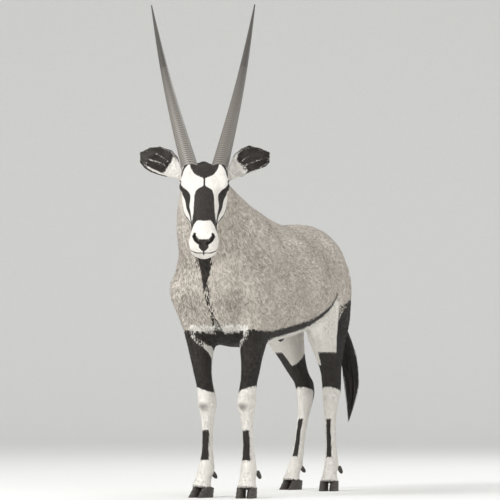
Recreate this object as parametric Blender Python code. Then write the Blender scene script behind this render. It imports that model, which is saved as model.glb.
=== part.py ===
"""A gemsbok standing still, at life size, in metres, +Z up, facing -Y, its left side towards +X."""
import math
import random

import bmesh
import bpy
import numpy as np
from mathutils import Matrix, Vector

# Whole animal
BOX_SHIFT = Vector((0.034, 0.152, 0.0))    # sets the middle of the model's box over the origin
GAP = 0.0003                               # clearance between touching pieces
VOXEL = 0.0045                             # cell of the body's first even mesh
FLESH_TRIANGLES = 5500                     # faces of the flesh after it is thinned
LEG_DETAIL = 0.80                          # how strongly the legs' faces are spared
DETAIL_FORCE = 0.22                        # how much all spared faces count

# Head: a slope of its own, measured along the face from the horn bases to the nose
HEAD_PLACE = Vector((0.082, -0.860, 1.288))
HEAD_TURN = math.radians(22.0)             # towards the animal's left
FACE_SLOPE = math.radians(35.0)            # the face leans this far from upright
HEAD_CUT = Vector((0.035, -0.738, 1.190))

HORN_LEAN = math.radians(37.0)
HORN_SPREAD = math.radians(9.8)
HORN_SKEW = math.radians(-1.0)             # both horns lean this much to the left
HORN_BOW = 0.010
HORN_LENGTH = 0.912
HORN_RADIUS = 0.0320
HORN_SIDE = 0.0550                         # from the middle of the head to a horn's axis
HORN_DEPTH = -0.036                        # from the forehead back to a horn's axis
HORN_FOOT = -0.012                         # where the horn stands, along the face
HORN_DEEPENED = 1.08                       # a horn's foot is this much deeper than wide
HORN_RINGS = 30
HORN_SIDES = 10
RINGED_SHARE = 0.60
RING_RISE = 0.085

EYE_RADIUS = 0.0195
EYE_PLACE = Vector((0.0775, 0.070, -0.040))
EYE_TILT = math.radians(12.0)              # slope of the slit against the face
SLIT_HALF = 0.0165                         # half the length of the slit between the lids
SLIT_UPPER = 0.0098
SLIT_LOWER = 0.0072
LID_THICKNESS = 0.0032
MOUTH_MIDDLE = Vector((0, 0.318, -0.056))  # the lips run round this place
MOUTH_REACH = math.radians(132.0)
MOUTH_FALL = 0.024                         # the corners of the mouth lie this much lower
EAR_FOOT = Vector((0.074, -0.004, -0.092))
EAR_LENGTH = 0.185
EAR_RISE = math.radians(37.0)
EAR_THICKNESS = 0.0045
EAR_STALK = 0.024
EAR_STUMP_OVER = 0.030                     # how much of the ear's root on the skull is cut away
EAR_STUMP_SIDE = 0.026                     # half the side of the block that cuts it
# Along the ear, half width, depth of the cup, how far it is hollowed
EAR = [
    (0.00, 0.0190, 0.0185, 0.00),
    (0.10, 0.0250, 0.0220, 0.12),
    (0.25, 0.0410, 0.0290, 0.62),
    (0.42, 0.0545, 0.0300, 0.92),
    (0.60, 0.0590, 0.0240, 1.00),
    (0.78, 0.0510, 0.0165, 1.00),
    (0.91, 0.0330, 0.0100, 1.00),
    (1.00, 0.0080, 0.0055, 1.00),
]

# Trunk: along the back, top, bottom, half width, height of the widest line, squareness above and below
TRUNK = [
    (-0.652, 0.985, 0.850, 0.050, 0.915, 2.0, 2.0),
    (-0.615, 1.045, 0.765, 0.110, 0.900, 2.0, 2.0),
    (-0.560, 1.105, 0.690, 0.162, 0.880, 1.9, 2.0),
    (-0.480, 1.168, 0.635, 0.204, 0.860, 1.75, 2.0),
    (-0.400, 1.200, 0.607, 0.224, 0.850, 1.65, 2.1),
    (-0.300, 1.187, 0.600, 0.232, 0.840, 1.65, 2.2),
    (-0.170, 1.149, 0.612, 0.241, 0.840, 1.8, 2.2),
    (-0.020, 1.124, 0.632, 0.248, 0.848, 1.95, 2.2),
    (0.120, 1.120, 0.652, 0.243, 0.865, 2.0, 2.2),
    (0.250, 1.128, 0.680, 0.226, 0.895, 2.0, 2.1),
    (0.370, 1.136, 0.715, 0.204, 0.920, 2.0, 2.0),
    (0.470, 1.128, 0.755, 0.172, 0.930, 2.0, 2.0),
    (0.545, 1.090, 0.790, 0.130, 0.930, 2.0, 2.0),
    (0.600, 1.035, 0.845, 0.078, 0.940, 2.0, 2.0),
    (0.624, 0.985, 0.885, 0.036, 0.935, 2.0, 2.0),
]
# Neck: crest (back, up), throat (back, up), sideways place, half width
NECK = [
    (-0.200, 1.112, -0.560, 0.720, 0.000, 0.170),
    (-0.350, 1.196, -0.655, 0.890, -0.006, 0.157),
    (-0.480, 1.232, -0.698, 0.980, -0.002, 0.136),
    (-0.600, 1.266, -0.728, 1.040, 0.010, 0.116),
    (-0.710, 1.298, -0.752, 1.080, 0.027, 0.099),
    (-0.790, 1.320, -0.785, 1.102, 0.047, 0.086),
]
# Head: along the face, top, bottom, half width, place of the widest line, squareness above and below
HEAD = [
    (-0.088, -0.098, -0.150, 0.034, -0.122, 2.0, 2.0),
    (-0.062, -0.064, -0.180, 0.062, -0.115, 2.0, 2.0),
    (-0.028, -0.016, -0.200, 0.080, -0.095, 2.1, 2.0),
    (0.019, 0.003, -0.214, 0.087, -0.070, 2.3, 2.0),
    (0.057, 0.004, -0.217, 0.089, -0.060, 2.4, 1.9),
    (0.090, 0.003, -0.214, 0.088, -0.062, 2.4, 1.8),
    (0.123, 0.002, -0.203, 0.083, -0.080, 2.3, 1.8),
    (0.158, 0.001, -0.184, 0.075, -0.090, 2.2, 1.9),
    (0.193, 0.000, -0.161, 0.064, -0.082, 2.2, 2.0),
    (0.227, -0.001, -0.141, 0.055, -0.070, 2.3, 2.0),
    (0.262, -0.002, -0.126, 0.050, -0.062, 2.4, 2.1),
    (0.297, -0.005, -0.116, 0.051, -0.058, 2.4, 2.2),
    (0.328, -0.011, -0.110, 0.055, -0.056, 2.4, 2.2),
    (0.352, -0.020, -0.107, 0.054, -0.058, 2.3, 2.2),
    (0.370, -0.032, -0.103, 0.047, -0.062, 2.2, 2.2),
    (0.381, -0.046, -0.094, 0.030, -0.068, 2.0, 2.0),
]
# Legs: height, front, back, inner side, outer side; the left leg, sideways from the middle
FORELEG = [
    (1.080, -0.430, -0.340, 0.050, 0.120),
    (0.960, -0.510, -0.335, 0.050, 0.180),
    (0.840, -0.585, -0.315, 0.050, 0.214),
    (0.740, -0.560, -0.310, 0.055, 0.204),
    (0.670, -0.525, -0.322, 0.060, 0.180),
    (0.610, -0.508, -0.352, 0.062, 0.160),
    (0.550, -0.498, -0.380, 0.067, 0.148),
    (0.500, -0.489, -0.391, 0.068, 0.138),
    (0.450, -0.481, -0.398, 0.062, 0.127),
    (0.410, -0.482, -0.393, 0.053, 0.122),
    (0.370, -0.484, -0.391, 0.049, 0.120),
    (0.330, -0.470, -0.395, 0.057, 0.113),
    (0.280, -0.460, -0.400, 0.065, 0.108),
    (0.190, -0.456, -0.396, 0.067, 0.110),
    (0.145, -0.462, -0.390, 0.063, 0.117),
    (0.110, -0.472, -0.390, 0.060, 0.123),
    (0.075, -0.488, -0.412, 0.064, 0.127),
    (0.030, -0.510, -0.428, 0.058, 0.138),
    (0.010, -0.512, -0.428, 0.058, 0.138),
]
HINDLEG = [
    (1.050, 0.370, 0.525, 0.040, 0.100),
    (1.000, 0.330, 0.588, 0.035, 0.148),
    (0.920, 0.270, 0.612, 0.030, 0.178),
    (0.820, 0.222, 0.620, 0.030, 0.188),
    (0.730, 0.218, 0.604, 0.032, 0.185),
    (0.660, 0.258, 0.583, 0.040, 0.174),
    (0.600, 0.325, 0.570, 0.048, 0.158),
    (0.550, 0.386, 0.568, 0.053, 0.144),
    (0.500, 0.446, 0.578, 0.052, 0.132),
    (0.460, 0.482, 0.606, 0.045, 0.120),
    (0.420, 0.502, 0.604, 0.042, 0.116),
    (0.375, 0.507, 0.583, 0.046, 0.111),
    (0.330, 0.504, 0.567, 0.055, 0.107),
    (0.270, 0.492, 0.550, 0.063, 0.109),
    (0.190, 0.480, 0.535, 0.070, 0.116),
    (0.145, 0.468, 0.531, 0.071, 0.123),
    (0.105, 0.451, 0.528, 0.072, 0.131),
    (0.075, 0.428, 0.499, 0.074, 0.133),
    (0.030, 0.403, 0.487, 0.068, 0.146),
    (0.010, 0.403, 0.487, 0.068, 0.146),
]
RIGHT_HIND_STEP = 0.100                    # the right hind foot stands this far further back
STEP_TOP = 0.860
STEP_FULL = 0.440

HOOF_HEIGHT = 0.043
HOOF_LENGTH = 0.096
HOOF_WIDTH = 0.039
HOOF_CLEFT = 0.005
CORONET_SLOPE = math.radians(12.0)         # the hoof's upper rim is higher at the toe
TOE_OUT = math.radians(12.0)
FORE_HOOF = Vector((0.098, -0.474, 0))
HIND_HOOF = Vector((0.107, 0.440, 0))
DEWCLAW_RADIUS = 0.0105
DEWCLAW_LENGTH = 0.032
DEWCLAW_SIDE = 0.021
FORE_DEWCLAW = (-0.401, 0.098)             # back, up
HIND_DEWCLAW = (0.517, 0.096)

# Tail: back, sideways, up, radius
DOCK = [
    (0.545, 0.000, 1.035, 0.034),
    (0.612, 0.000, 1.008, 0.030),
    (0.660, 0.010, 0.946, 0.024),
    (0.686, 0.032, 0.850, 0.019),
    (0.698, 0.056, 0.755, 0.016),
]
TUFT = [
    (0.698, 0.058, 0.760, 0.015),
    (0.706, 0.078, 0.670, 0.028),
    (0.710, 0.102, 0.560, 0.038),
    (0.710, 0.114, 0.460, 0.034),
    (0.708, 0.110, 0.370, 0.022),
    (0.706, 0.100, 0.290, 0.006),
]
TAIL_CUT = 0.757
TAIL_LOCKS = 22
TAIL_LOCK_WIDTH = 0.0125
TAIL_CORE = 0.48                           # share of the tuft's radius and length that is solid

# Mane: upright locks along the crest, in two rows that lean back
MANE_LOCKS = 36
MANE_LENGTH = 0.040
MANE_WIDTH = 0.013
MANE_ROOT = 0.012                          # how deep a lock is set in the skin
MANE_ENDS = (-0.715, -0.385)               # back, where the first and the last lock stand

# Sheath: back, sideways, up, radius
SHEATH = [(0.235, 0.0, 0.700, 0.030), (0.175, 0.0, 0.668, 0.024), (0.140, 0.0, 0.640, 0.013)]

# Muscle and bone under the skin: sideways, back, up, reach, rise
BODY_SWELLS = [
    (0.185, -0.560, 0.830, 0.110, 0.012),
    (0.190, -0.430, 1.010, 0.170, 0.010),
    (0.200, -0.370, 0.780, 0.130, 0.010),
    (0.140, -0.500, 0.610, 0.100, 0.005),
    (0.172, 0.270, 1.050, 0.080, 0.012),
    (0.185, 0.450, 0.920, 0.190, 0.010),
    (0.080, 0.612, 0.975, 0.065, 0.011),
    (0.240, 0.190, 0.920, 0.130, -0.009),
    (0.180, 0.240, 0.730, 0.085, 0.007),
    (0.180, -0.640, 0.980, 0.120, -0.006),
    (0.230, -0.280, 1.080, 0.120, -0.008),
    (0.080, -0.482, 0.378, 0.036, 0.004),
    (0.130, 0.590, 0.740, 0.100, 0.005),
]
# The same on the head: sideways, along the face, out of the face, reach, rise
HEAD_SWELLS = [
    (0.086, 0.066, -0.030, 0.042, 0.012),
    (0.062, 0.128, -0.030, 0.045, -0.006),
    (0.080, 0.113, -0.130, 0.080, 0.006),
    (0.060, 0.203, -0.080, 0.050, -0.005),
    (0.035, 0.333, -0.022, 0.028, 0.006),
    (0.050, 0.312, -0.058, 0.040, 0.003),
    (0.000, 0.358, -0.100, 0.030, 0.004),
    (0.078, 0.020, -0.110, 0.050, -0.005),
]

COLOURS = {
    "coat": ((0.52, 0.47, 0.42), 0.85),
    "dark": ((0.03, 0.027, 0.025), 0.80),
    "horn": ((0.06, 0.052, 0.047), 0.45),
    "hoof": ((0.05, 0.045, 0.042), 0.40),
    "eye": ((0.015, 0.010, 0.008), 0.08),
}


def clear_scene():
    """Empty the file of its objects."""
    for thing in list(bpy.data.objects):
        bpy.data.objects.remove(thing, do_unlink=True)


def material(name):
    """The named Principled material, made once."""
    found = bpy.data.materials.get(name)
    if found:
        return found
    made = bpy.data.materials.new(name)
    made.use_nodes = True
    colour, roughness = COLOURS[name]
    shader = made.node_tree.nodes["Principled BSDF"]
    shader.inputs["Base Color"].default_value = (*colour, 1.0)
    shader.inputs["Roughness"].default_value = roughness
    shader.inputs["Metallic"].default_value = 0.0
    return made


def add_object(name, mesh, finish):
    """Link a mesh as an object with one finish."""
    thing = bpy.data.objects.new(name, mesh)
    bpy.context.scene.collection.objects.link(thing)
    mesh.materials.clear()
    mesh.materials.append(material(finish))
    return thing


def smooth_rows(rows, count, measured=3):
    """Rows of values read along a smooth curve, spaced by its length in the first columns."""
    rows = np.array(rows, float)
    places = np.zeros(len(rows))
    places[1:] = np.cumsum(np.linalg.norm(np.diff(rows[:, :measured], axis=0), axis=1))
    steps = np.diff(places)[:, None]
    slopes = np.diff(rows, axis=0) / steps
    tangents = np.empty_like(rows)
    tangents[0], tangents[-1] = slopes[0], slopes[-1]
    tangents[1:-1] = (slopes[:-1] * steps[1:] + slopes[1:] * steps[:-1]) / (steps[1:] + steps[:-1])
    at = np.linspace(0, places[-1], count)
    part = np.clip(np.searchsorted(places, at, side="right") - 1, 0, len(rows) - 2)
    step = steps[part]
    t = ((at - places[part])[:, None]) / step
    return ((2 * t**3 - 3 * t**2 + 1) * rows[part] + (t**3 - 2 * t**2 + t) * step * tangents[part]
            + (3 * t**2 - 2 * t**3) * rows[part + 1] + (t**3 - t**2) * step * tangents[part + 1])


def ring(centre, side, up, half_width, above, below, square_above=2.0, square_below=2.0, count=40):
    """One closed outline: a rounded form with its own reach above and below its widest line."""
    points = []
    for step in range(count):
        angle = 2 * math.pi * step / count
        across, rise = math.cos(angle), math.sin(angle)
        reach, square = (above, square_above) if rise >= 0 else (below, square_below)
        x = half_width * math.copysign(abs(across) ** (2 / square), across)
        z = reach * math.copysign(abs(rise) ** (2 / square), rise)
        points.append(centre + side * x + up * z)
    return points


def loft(name, rings, finish="coat"):
    """A closed body through a row of outlines, with flat ends."""
    bm = bmesh.new()
    loops = [[bm.verts.new(point) for point in outline] for outline in rings]
    for first, second in zip(loops[:-1], loops[1:]):
        for step in range(len(first)):
            after = (step + 1) % len(first)
            bm.faces.new((first[step], first[after], second[after], second[step]))
    bm.faces.new(loops[0][::-1])
    bm.faces.new(loops[-1])
    bmesh.ops.recalc_face_normals(bm, faces=bm.faces)
    mesh = bpy.data.meshes.new(name)
    bm.to_mesh(mesh)
    bm.free()
    return add_object(name, mesh, finish)


def head_frame():
    """Matrix from the head's own axes (sideways, along the face, out of the face) to the animal's."""
    forward = Vector((math.sin(HEAD_TURN), -math.cos(HEAD_TURN), 0))
    left = Vector((math.cos(HEAD_TURN), math.sin(HEAD_TURN), 0))
    along = forward * math.sin(FACE_SLOPE) + Vector((0, 0, -math.cos(FACE_SLOPE)))
    out = forward * math.cos(FACE_SLOPE) + Vector((0, 0, math.sin(FACE_SLOPE)))
    turn = Matrix((left, along, out)).transposed().to_4x4()
    return Matrix.Translation(HEAD_PLACE) @ turn


def trunk_form():
    """The barrel from breast to rump, in upright slices."""
    rings = []
    for y, top, bottom, half, widest, above, below in smooth_rows(TRUNK, 60):
        rings.append(ring(Vector((0, y, widest)), Vector((1, 0, 0)), Vector((0, 0, 1)),
                          half, top - widest, widest - bottom, above, below, 64))
    return loft("trunk_form", rings)


def neck_form():
    """The neck, in slices from crest to throat that turn with the head."""
    rings = []
    rows = smooth_rows(NECK, 30)
    for number, (crest_y, crest_z, throat_y, throat_z, x, half) in enumerate(rows):
        turn = HEAD_TURN * number / (len(rows) - 1)
        crest, throat = Vector((x, crest_y, crest_z)), Vector((x, throat_y, throat_z))
        centre = crest.lerp(throat, 0.52)
        up = (crest - throat).normalized()
        side = Vector((math.cos(turn), math.sin(turn), 0))
        rings.append(ring(centre, side, up, half, (crest - centre).length,
                          (throat - centre).length, 1.8, 2.0, 48))
    return loft("neck_form", rings)


def head_form():
    """Skull, cheeks and muzzle, in slices across the face."""
    to_body = head_frame()
    rings = []
    for along, top, bottom, half, widest, above, below in smooth_rows(HEAD, 60):
        outline = ring(Vector((0, along, widest)), Vector((1, 0, 0)), Vector((0, 0, 1)),
                       half, top - widest, widest - bottom, above, below, 48)
        rings.append([to_body @ point for point in outline])
    return loft("head_form", rings)


def leg_form(name, rows, side, step_back=0.0):
    """One leg, in level slices from inside the trunk to the hoof."""
    rings = []
    for z, front, back, inner, outer in smooth_rows(rows, 70):
        share = min(max((STEP_TOP - z) / (STEP_TOP - STEP_FULL), 0.0), 1.0)
        shift = step_back * share * share * (3 - 2 * share)
        centre = Vector((side * (inner + outer) / 2, (front + back) / 2 + shift, z))
        rings.append(ring(centre, Vector((1, 0, 0)), Vector((0, 1, 0)), (outer - inner) / 2,
                          (back - front) / 2, (back - front) / 2, 2.1, 2.1, 36))
    return loft(name, rings)


def tube_form(name, rows, count, sides, finish):
    """A round form along a curved line of places with their radii."""
    rings = []
    line = smooth_rows([(x, y, z, radius) for y, x, z, radius in rows], count)
    points = [Vector(row[:3]) for row in line]
    for number, point in enumerate(points):
        ahead = points[min(number + 1, count - 1)] - points[max(number - 1, 0)]
        side = ahead.cross(Vector((0, 1, 0.3))).normalized()
        up = side.cross(ahead).normalized()
        rings.append(ring(point, side, up, line[number][3], line[number][3], line[number][3], count=sides))
    return loft(name, rings, finish)


def activate(thing):
    """Make one object the only selected and active one."""
    bpy.ops.object.select_all(action="DESELECT")
    thing.select_set(True)
    bpy.context.view_layer.objects.active = thing


def apply_modifier(thing, kind, **settings):
    """Add a modifier, set it up and apply it."""
    modifier = thing.modifiers.new(kind.lower(), kind)
    for name, value in settings.items():
        setattr(modifier, name, value)
    activate(thing)
    bpy.ops.object.modifier_apply(modifier=modifier.name)


def remove(thing):
    """Take an object away."""
    bpy.data.objects.remove(thing, do_unlink=True)


def join(things, name):
    """Several objects as one, still separate closed bodies."""
    activate(things[0])
    for thing in things:
        thing.select_set(True)
    bpy.ops.object.join()
    things[0].name = name
    return things[0]


def combine(thing, tools, operation, solver="EXACT"):
    """Cut, keep or fuse a body with closed tools, which are used up."""
    group = bpy.data.collections.new("tools")
    bpy.context.scene.collection.children.link(group)
    for tool in tools:
        group.objects.link(tool)
    apply_modifier(thing, "BOOLEAN", operation=operation, operand_type="COLLECTION",
                   collection=group, solver=solver)
    for tool in tools:
        remove(tool)
    bpy.data.collections.remove(group)


def keep_largest(thing):
    """Drop loose scraps, then make the body triangles without slivers."""
    bm = bmesh.new()
    bm.from_mesh(thing.data)
    left = set(bm.faces)
    pieces = []
    while left:
        seed = left.pop()
        piece, edge = [seed], [seed]
        while edge:
            face = edge.pop()
            for side in face.edges:
                for other in side.link_faces:
                    if other in left:
                        left.remove(other)
                        piece.append(other)
                        edge.append(other)
        pieces.append(piece)
    pieces.sort(key=lambda faces: sum(face.calc_area() for face in faces))
    scraps = [face for piece in pieces[:-1] for face in piece]
    bmesh.ops.delete(bm, geom=scraps, context="FACES")
    bmesh.ops.remove_doubles(bm, verts=bm.verts, dist=0.00003)
    bmesh.ops.dissolve_degenerate(bm, edges=bm.edges, dist=0.00003)
    bmesh.ops.triangulate(bm, faces=bm.faces)
    bm.to_mesh(thing.data)
    bm.free()


def copy_of(thing, name):
    """A separate copy of an object."""
    twin = thing.copy()
    twin.data = thing.data.copy()
    twin.name = name
    bpy.context.scene.collection.objects.link(twin)
    return twin


def points_of(thing):
    """The places of an object's points, as an array."""
    places = np.empty(len(thing.data.vertices) * 3)
    thing.data.vertices.foreach_get("co", places)
    return places.reshape(-1, 3)


def normals_of(thing):
    """The directions that an object's points face, as an array."""
    directions = np.empty(len(thing.data.vertices) * 3)
    thing.data.vertices.foreach_get("normal", directions)
    return directions.reshape(-1, 3)


def set_points(thing, places):
    """Move an object's points to the places in an array."""
    thing.data.vertices.foreach_set("co", places.ravel())
    thing.data.update()


def weight_group(thing, name, weights):
    """A vertex group with a weight for each point, in twenty steps."""
    group = thing.vertex_groups.new(name=name)
    levels = np.round(np.clip(weights, 0, 1) * 20).astype(int)
    for level in range(1, 21):
        group.add(np.flatnonzero(levels == level).tolist(), level / 20, "REPLACE")
    return group.name


def near(places, centre, radius):
    """How near each place is to a centre: 1 there, 0 beyond the radius."""
    apart = np.linalg.norm(places - np.array(centre), axis=1) / radius
    return np.clip(1 - apart**2, 0, 1) ** 2


def in_head(places):
    """Places in the head's own axes."""
    turn = np.array(head_frame().inverted())
    return places @ turn[:3, :3].T + turn[:3, 3]


def horn_pedicle(side):
    """The bony foot of a horn, part of the head."""
    to_body = head_frame()
    rings = []
    for along, radius in ((0.080, 0.020), (0.050, 0.034), (0.020, 0.0370), (-0.006, 0.0350), (-0.018, 0.0340)):
        outline = ring(Vector((side * HORN_SIDE, along, HORN_DEPTH)), Vector((1, 0, 0)), Vector((0, 0, 1)),
                       radius, radius, radius, count=28)
        rings.append([to_body @ point for point in outline])
    return loft("pedicle_form", rings)


def ear_stump(side):
    """The root of an ear on the side of the skull, part of the head."""
    foot, axis, across, out = ear_axes(side)
    rings = []
    for reach, size in ((-0.050, 0.020), (-0.015, 0.026), (0.012, 0.0225), (EAR_STALK + 0.01, 0.020)):
        rings.append(ring(foot + axis * reach, across, out, size, size, size, count=24))
    return loft("stump_form", rings)


def ear_axes(side):
    """An ear's foot, the way it points, the way its width runs and the way it faces."""
    to_body = head_frame()
    turn = to_body.to_3x3()
    foot = to_body @ Vector((side * EAR_FOOT.x, EAR_FOOT.y, EAR_FOOT.z))
    left = turn @ Vector((side, 0, 0))
    forward = Vector((math.sin(HEAD_TURN), -math.cos(HEAD_TURN), 0))
    axis = (left * math.cos(EAR_RISE) + Vector((0, 0, math.sin(EAR_RISE))) - forward * 0.10).normalized()
    out = (forward - axis * forward.dot(axis) + left * 0.15).normalized()
    across = axis.cross(out).normalized() * side
    out = axis.cross(across).normalized()
    if out.dot(forward) < 0:
        out = -out
    return foot, axis, across, out


def ear(side, name):
    """A leaf-shaped cup: a hollowed sheet that closes to a stalk at the skull."""
    foot, axis, across, out = ear_axes(side)
    rings = []
    steps = 9
    for t, half, depth, hollow in smooth_rows(EAR, 12, 1):
        lift = 0.020 * t * t - 0.012 * math.sin(math.pi * t)
        middle = foot + axis * (EAR_STALK + EAR_LENGTH * t) + across * lift
        thick = EAR_THICKNESS if t < 0.98 else 0.003
        outline = []
        for step in range(steps + 1):
            u = 2 * step / steps - 1
            bend = math.sqrt(max(1 - u * u, 0)) * 0.5 + 0.5 * (1 - u * u)
            outline.append(middle + across * half * u - out * depth * bend)
        for step in range(steps - 1, 0, -1):
            u = 2 * step / steps - 1
            bend = math.sqrt(max(1 - u * u, 0)) * 0.5 + 0.5 * (1 - u * u)
            inner = max(depth - thick, 0) * bend * hollow
            outline.append(middle + across * (half - thick * 0.5) * u - out * inner + out * 0.004 * (1 - hollow))
        rings.append(outline)
    return loft(name, rings)


def horn_line(side, share):
    """A place along a horn's middle with its sideways direction and its direction to the front."""
    turn = head_frame().to_3x3()
    foot = head_frame() @ Vector((side * HORN_SIDE, HORN_FOOT - GAP, HORN_DEPTH))
    left = turn @ Vector((side, 0, 0))
    forward = Vector((math.sin(HEAD_TURN), -math.cos(HEAD_TURN), 0))
    lean = Vector((0, 0, math.cos(HORN_LEAN))) - forward * math.sin(HORN_LEAN)
    spread = HORN_SPREAD + side * HORN_SKEW
    axis = (lean * math.cos(spread) + left * math.sin(spread)).normalized()
    bow = HORN_BOW * math.sin(math.pi * share)
    way = (turn @ Vector((0, -1, 0))).lerp(axis, min(share / 0.08, 1.0))
    across = (left - way * left.dot(way)).normalized()
    return foot + axis * HORN_LENGTH * share + (left - forward) * bow, across, way.cross(across).normalized()


def horn(side, name):
    """A long, nearly straight horn with rings over its lower part."""
    stops = [(0.0, 0.0)]
    for number in range(HORN_RINGS):
        fade = 1.0 - 0.75 * (number / HORN_RINGS) ** 2
        stops.append((RINGED_SHARE * ((number + 0.5) / HORN_RINGS) ** 0.93, RING_RISE * fade))
        stops.append((RINGED_SHARE * ((number + 1) / HORN_RINGS) ** 0.93, -0.02 * fade))
    stops += [(RINGED_SHARE + (1 - RINGED_SHARE) * step / 6, 0.0) for step in range(1, 7)]
    rings = []
    for share, rise in stops:
        radius = HORN_RADIUS * (1 - 0.80 * share - 0.12 * share**3) * (1 + rise)
        place, across, up = horn_line(side, share)
        tall = radius * (HORN_DEEPENED + (1 - HORN_DEEPENED) * share)
        rings.append(ring(place, across, up, radius, tall, tall, count=HORN_SIDES))
    return loft(name, rings, "horn")


def horn_room(side):
    """The room that a horn needs where it leaves the crown."""
    rings = []
    for share in (0.0, 0.03, 0.07, 0.12, 0.16):
        place, across, up = horn_line(side, share)
        if share == 0:
            place = head_frame() @ Vector((side * HORN_SIDE, HORN_FOOT, HORN_DEPTH))
        radius = HORN_RADIUS * (1 - 0.80 * share) * (1 + 1.4 * RING_RISE)
        tall = radius * HORN_DEEPENED
        rings.append(ring(place, across, up, radius, tall, tall, count=24))
    return loft("room", rings)


def ball(name, centre, radii, turn=None, finish="coat", segments=16):
    """A closed ellipsoid."""
    bm = bmesh.new()
    bmesh.ops.create_uvsphere(bm, u_segments=segments, v_segments=segments * 5 // 8, radius=1.0)
    bmesh.ops.scale(bm, vec=Vector(radii), verts=bm.verts)
    place = Matrix.Translation(centre) @ (turn.to_4x4() if turn else Matrix.Identity(4))
    bmesh.ops.transform(bm, matrix=place, verts=bm.verts)
    mesh = bpy.data.meshes.new(name)
    bm.to_mesh(mesh)
    bm.free()
    return add_object(name, mesh, finish)


def prism(name, profile, low, high, axis):
    """A closed block: a flat outline carried along X or Y."""
    rings = []
    for reach in (low, high):
        if axis == "X":
            rings.append([Vector((reach, a, b)) for a, b in profile])
        else:
            rings.append([Vector((a, reach, b)) for a, b in profile])
    return loft(name, rings)


def slab(name, centre, normal, thickness, size):
    """A square block whose near face is at the centre and that reaches along the normal."""
    normal = normal.normalized()
    side = normal.orthogonal().normalized()
    up = normal.cross(side)
    corners = [(-1, -1), (1, -1), (1, 1), (-1, 1)]
    rings = [[centre + normal * reach + (side * a + up * b) * size for a, b in corners]
             for reach in (0.0, thickness)]
    return loft(name, rings)


def part_off(whole, name, make_region):
    """Take the piece of a body inside a region, with the clearance all round it."""
    piece = copy_of(whole, name)
    combine(piece, [make_region(0.0)], "INTERSECT")
    combine(whole, [make_region(GAP)], "DIFFERENCE")
    keep_largest(piece)
    return piece


def flesh_form():
    """The whole animal without horns, ears and hooves, as one even skin."""
    pieces = [
        trunk_form(), neck_form(), head_form(),
        horn_pedicle(1), horn_pedicle(-1), ear_stump(1), ear_stump(-1),
        leg_form("fore_left_form", FORELEG, 1), leg_form("fore_right_form", FORELEG, -1),
        leg_form("hind_left_form", HINDLEG, 1),
        leg_form("hind_right_form", HINDLEG, -1, RIGHT_HIND_STEP),
        tube_form("dock_form", DOCK, 24, 20, "coat"),
        tube_form("sheath_form", SHEATH, 12, 20, "coat"),
    ]
    flesh = join(pieces, "flesh")
    apply_modifier(flesh, "REMESH", mode="VOXEL", voxel_size=VOXEL)
    blend_joins(flesh)
    raise_muscles(flesh)
    thin_faces(flesh)
    grow_mane(flesh)
    return flesh


def lock(name, line, width, thickness, side, finish):
    """A flat lock that tapers to its tip along a bent line."""
    rings = []
    last = len(line) - 1
    for number, point in enumerate(line):
        share = number / last
        ahead = (line[min(number + 1, last)] - line[max(number - 1, 0)]).normalized()
        across = (side - ahead * side.dot(ahead)).normalized()
        up = ahead.cross(across)
        swell = (0.75 + 0.5 * share) if share < 0.5 else 2.0 * (1 - share)
        half = max(width * swell, 0.0012)
        rings.append([point + across * half, point + up * (thickness * swell + 0.0008),
                      point - across * half])
    return loft(name, rings, finish)


def grow_mane(flesh):
    """Fuse short upright locks to the crest of the neck."""
    draw = random.Random(4)
    rows = smooth_rows(NECK, 200, 2)
    first, last = MANE_ENDS
    locks = []
    for number in range(MANE_LOCKS):
        share = (number + 0.5) / MANE_LOCKS
        y = first + (last - first) * share
        row = rows[int(np.argmin(np.abs(rows[:, 0] - y)))]
        row_side = 1 if number % 2 else -1
        off = row_side * 0.0065 + draw.uniform(-0.002, 0.002)
        _, foot, out, _ = flesh.closest_point_on_mesh(Vector((row[4] + off, y, row[1] + 0.05)))
        length = MANE_LENGTH * (0.62 + 0.38 * math.sin(math.pi * share)) * draw.uniform(0.88, 1.1)
        back = Vector((draw.uniform(-0.10, 0.10), 1.0, -0.25)).normalized()
        up = (out + Vector((row_side * 0.10, 0, 0.4))).normalized()
        line = []
        for step in range(4):
            t = step / 3
            rise = (length + MANE_ROOT) * (t - 0.28 * t * t) - MANE_ROOT
            line.append(foot + up * rise + back * length * 0.75 * t * t)
        locks.append(lock("lock", line, MANE_WIDTH / 2, 0.0026, back, "coat"))
    combine(flesh, locks, "UNION")


def tail_hair():
    """The long hair of the tail: a slim core under locks that hang over one another."""
    draw = random.Random(9)
    core = [(y, x, z, radius * TAIL_CORE) for y, x, z, radius in smooth_rows(TUFT, 9)[:6].tolist()]
    core[0] = (*core[0][:3], TUFT[0][3])
    tuft = tube_form("tail_tuft", core, 6, 8, "dark")
    rows = smooth_rows(TUFT, 101)
    locks = []
    for number in range(TAIL_LOCKS):
        share = number / (TAIL_LOCKS - 1)
        start = 0.03 + 0.46 * share ** 1.2
        end = min(start + draw.uniform(0.40, 0.56), 1.0)
        turn = number * 2.4 + draw.uniform(-0.3, 0.3)
        line = []
        for step in range(5):
            t = step / 4
            y, x, z, radius = rows[int(100 * (start + (end - start) * t))]
            reach = radius * (0.30 + 0.66 * math.sin(math.pi * min(0.08 + 0.62 * t, 1.0)))
            angle = turn + 0.4 * t
            line.append(Vector((x + reach * math.cos(angle), y + reach * math.sin(angle), z)))
        across = Vector((-math.sin(turn), math.cos(turn), 0))
        locks.append(lock("lock", line, TAIL_LOCK_WIDTH, 0.0036, across, "dark"))
    combine(tuft, locks, "UNION")
    return tuft


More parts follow.
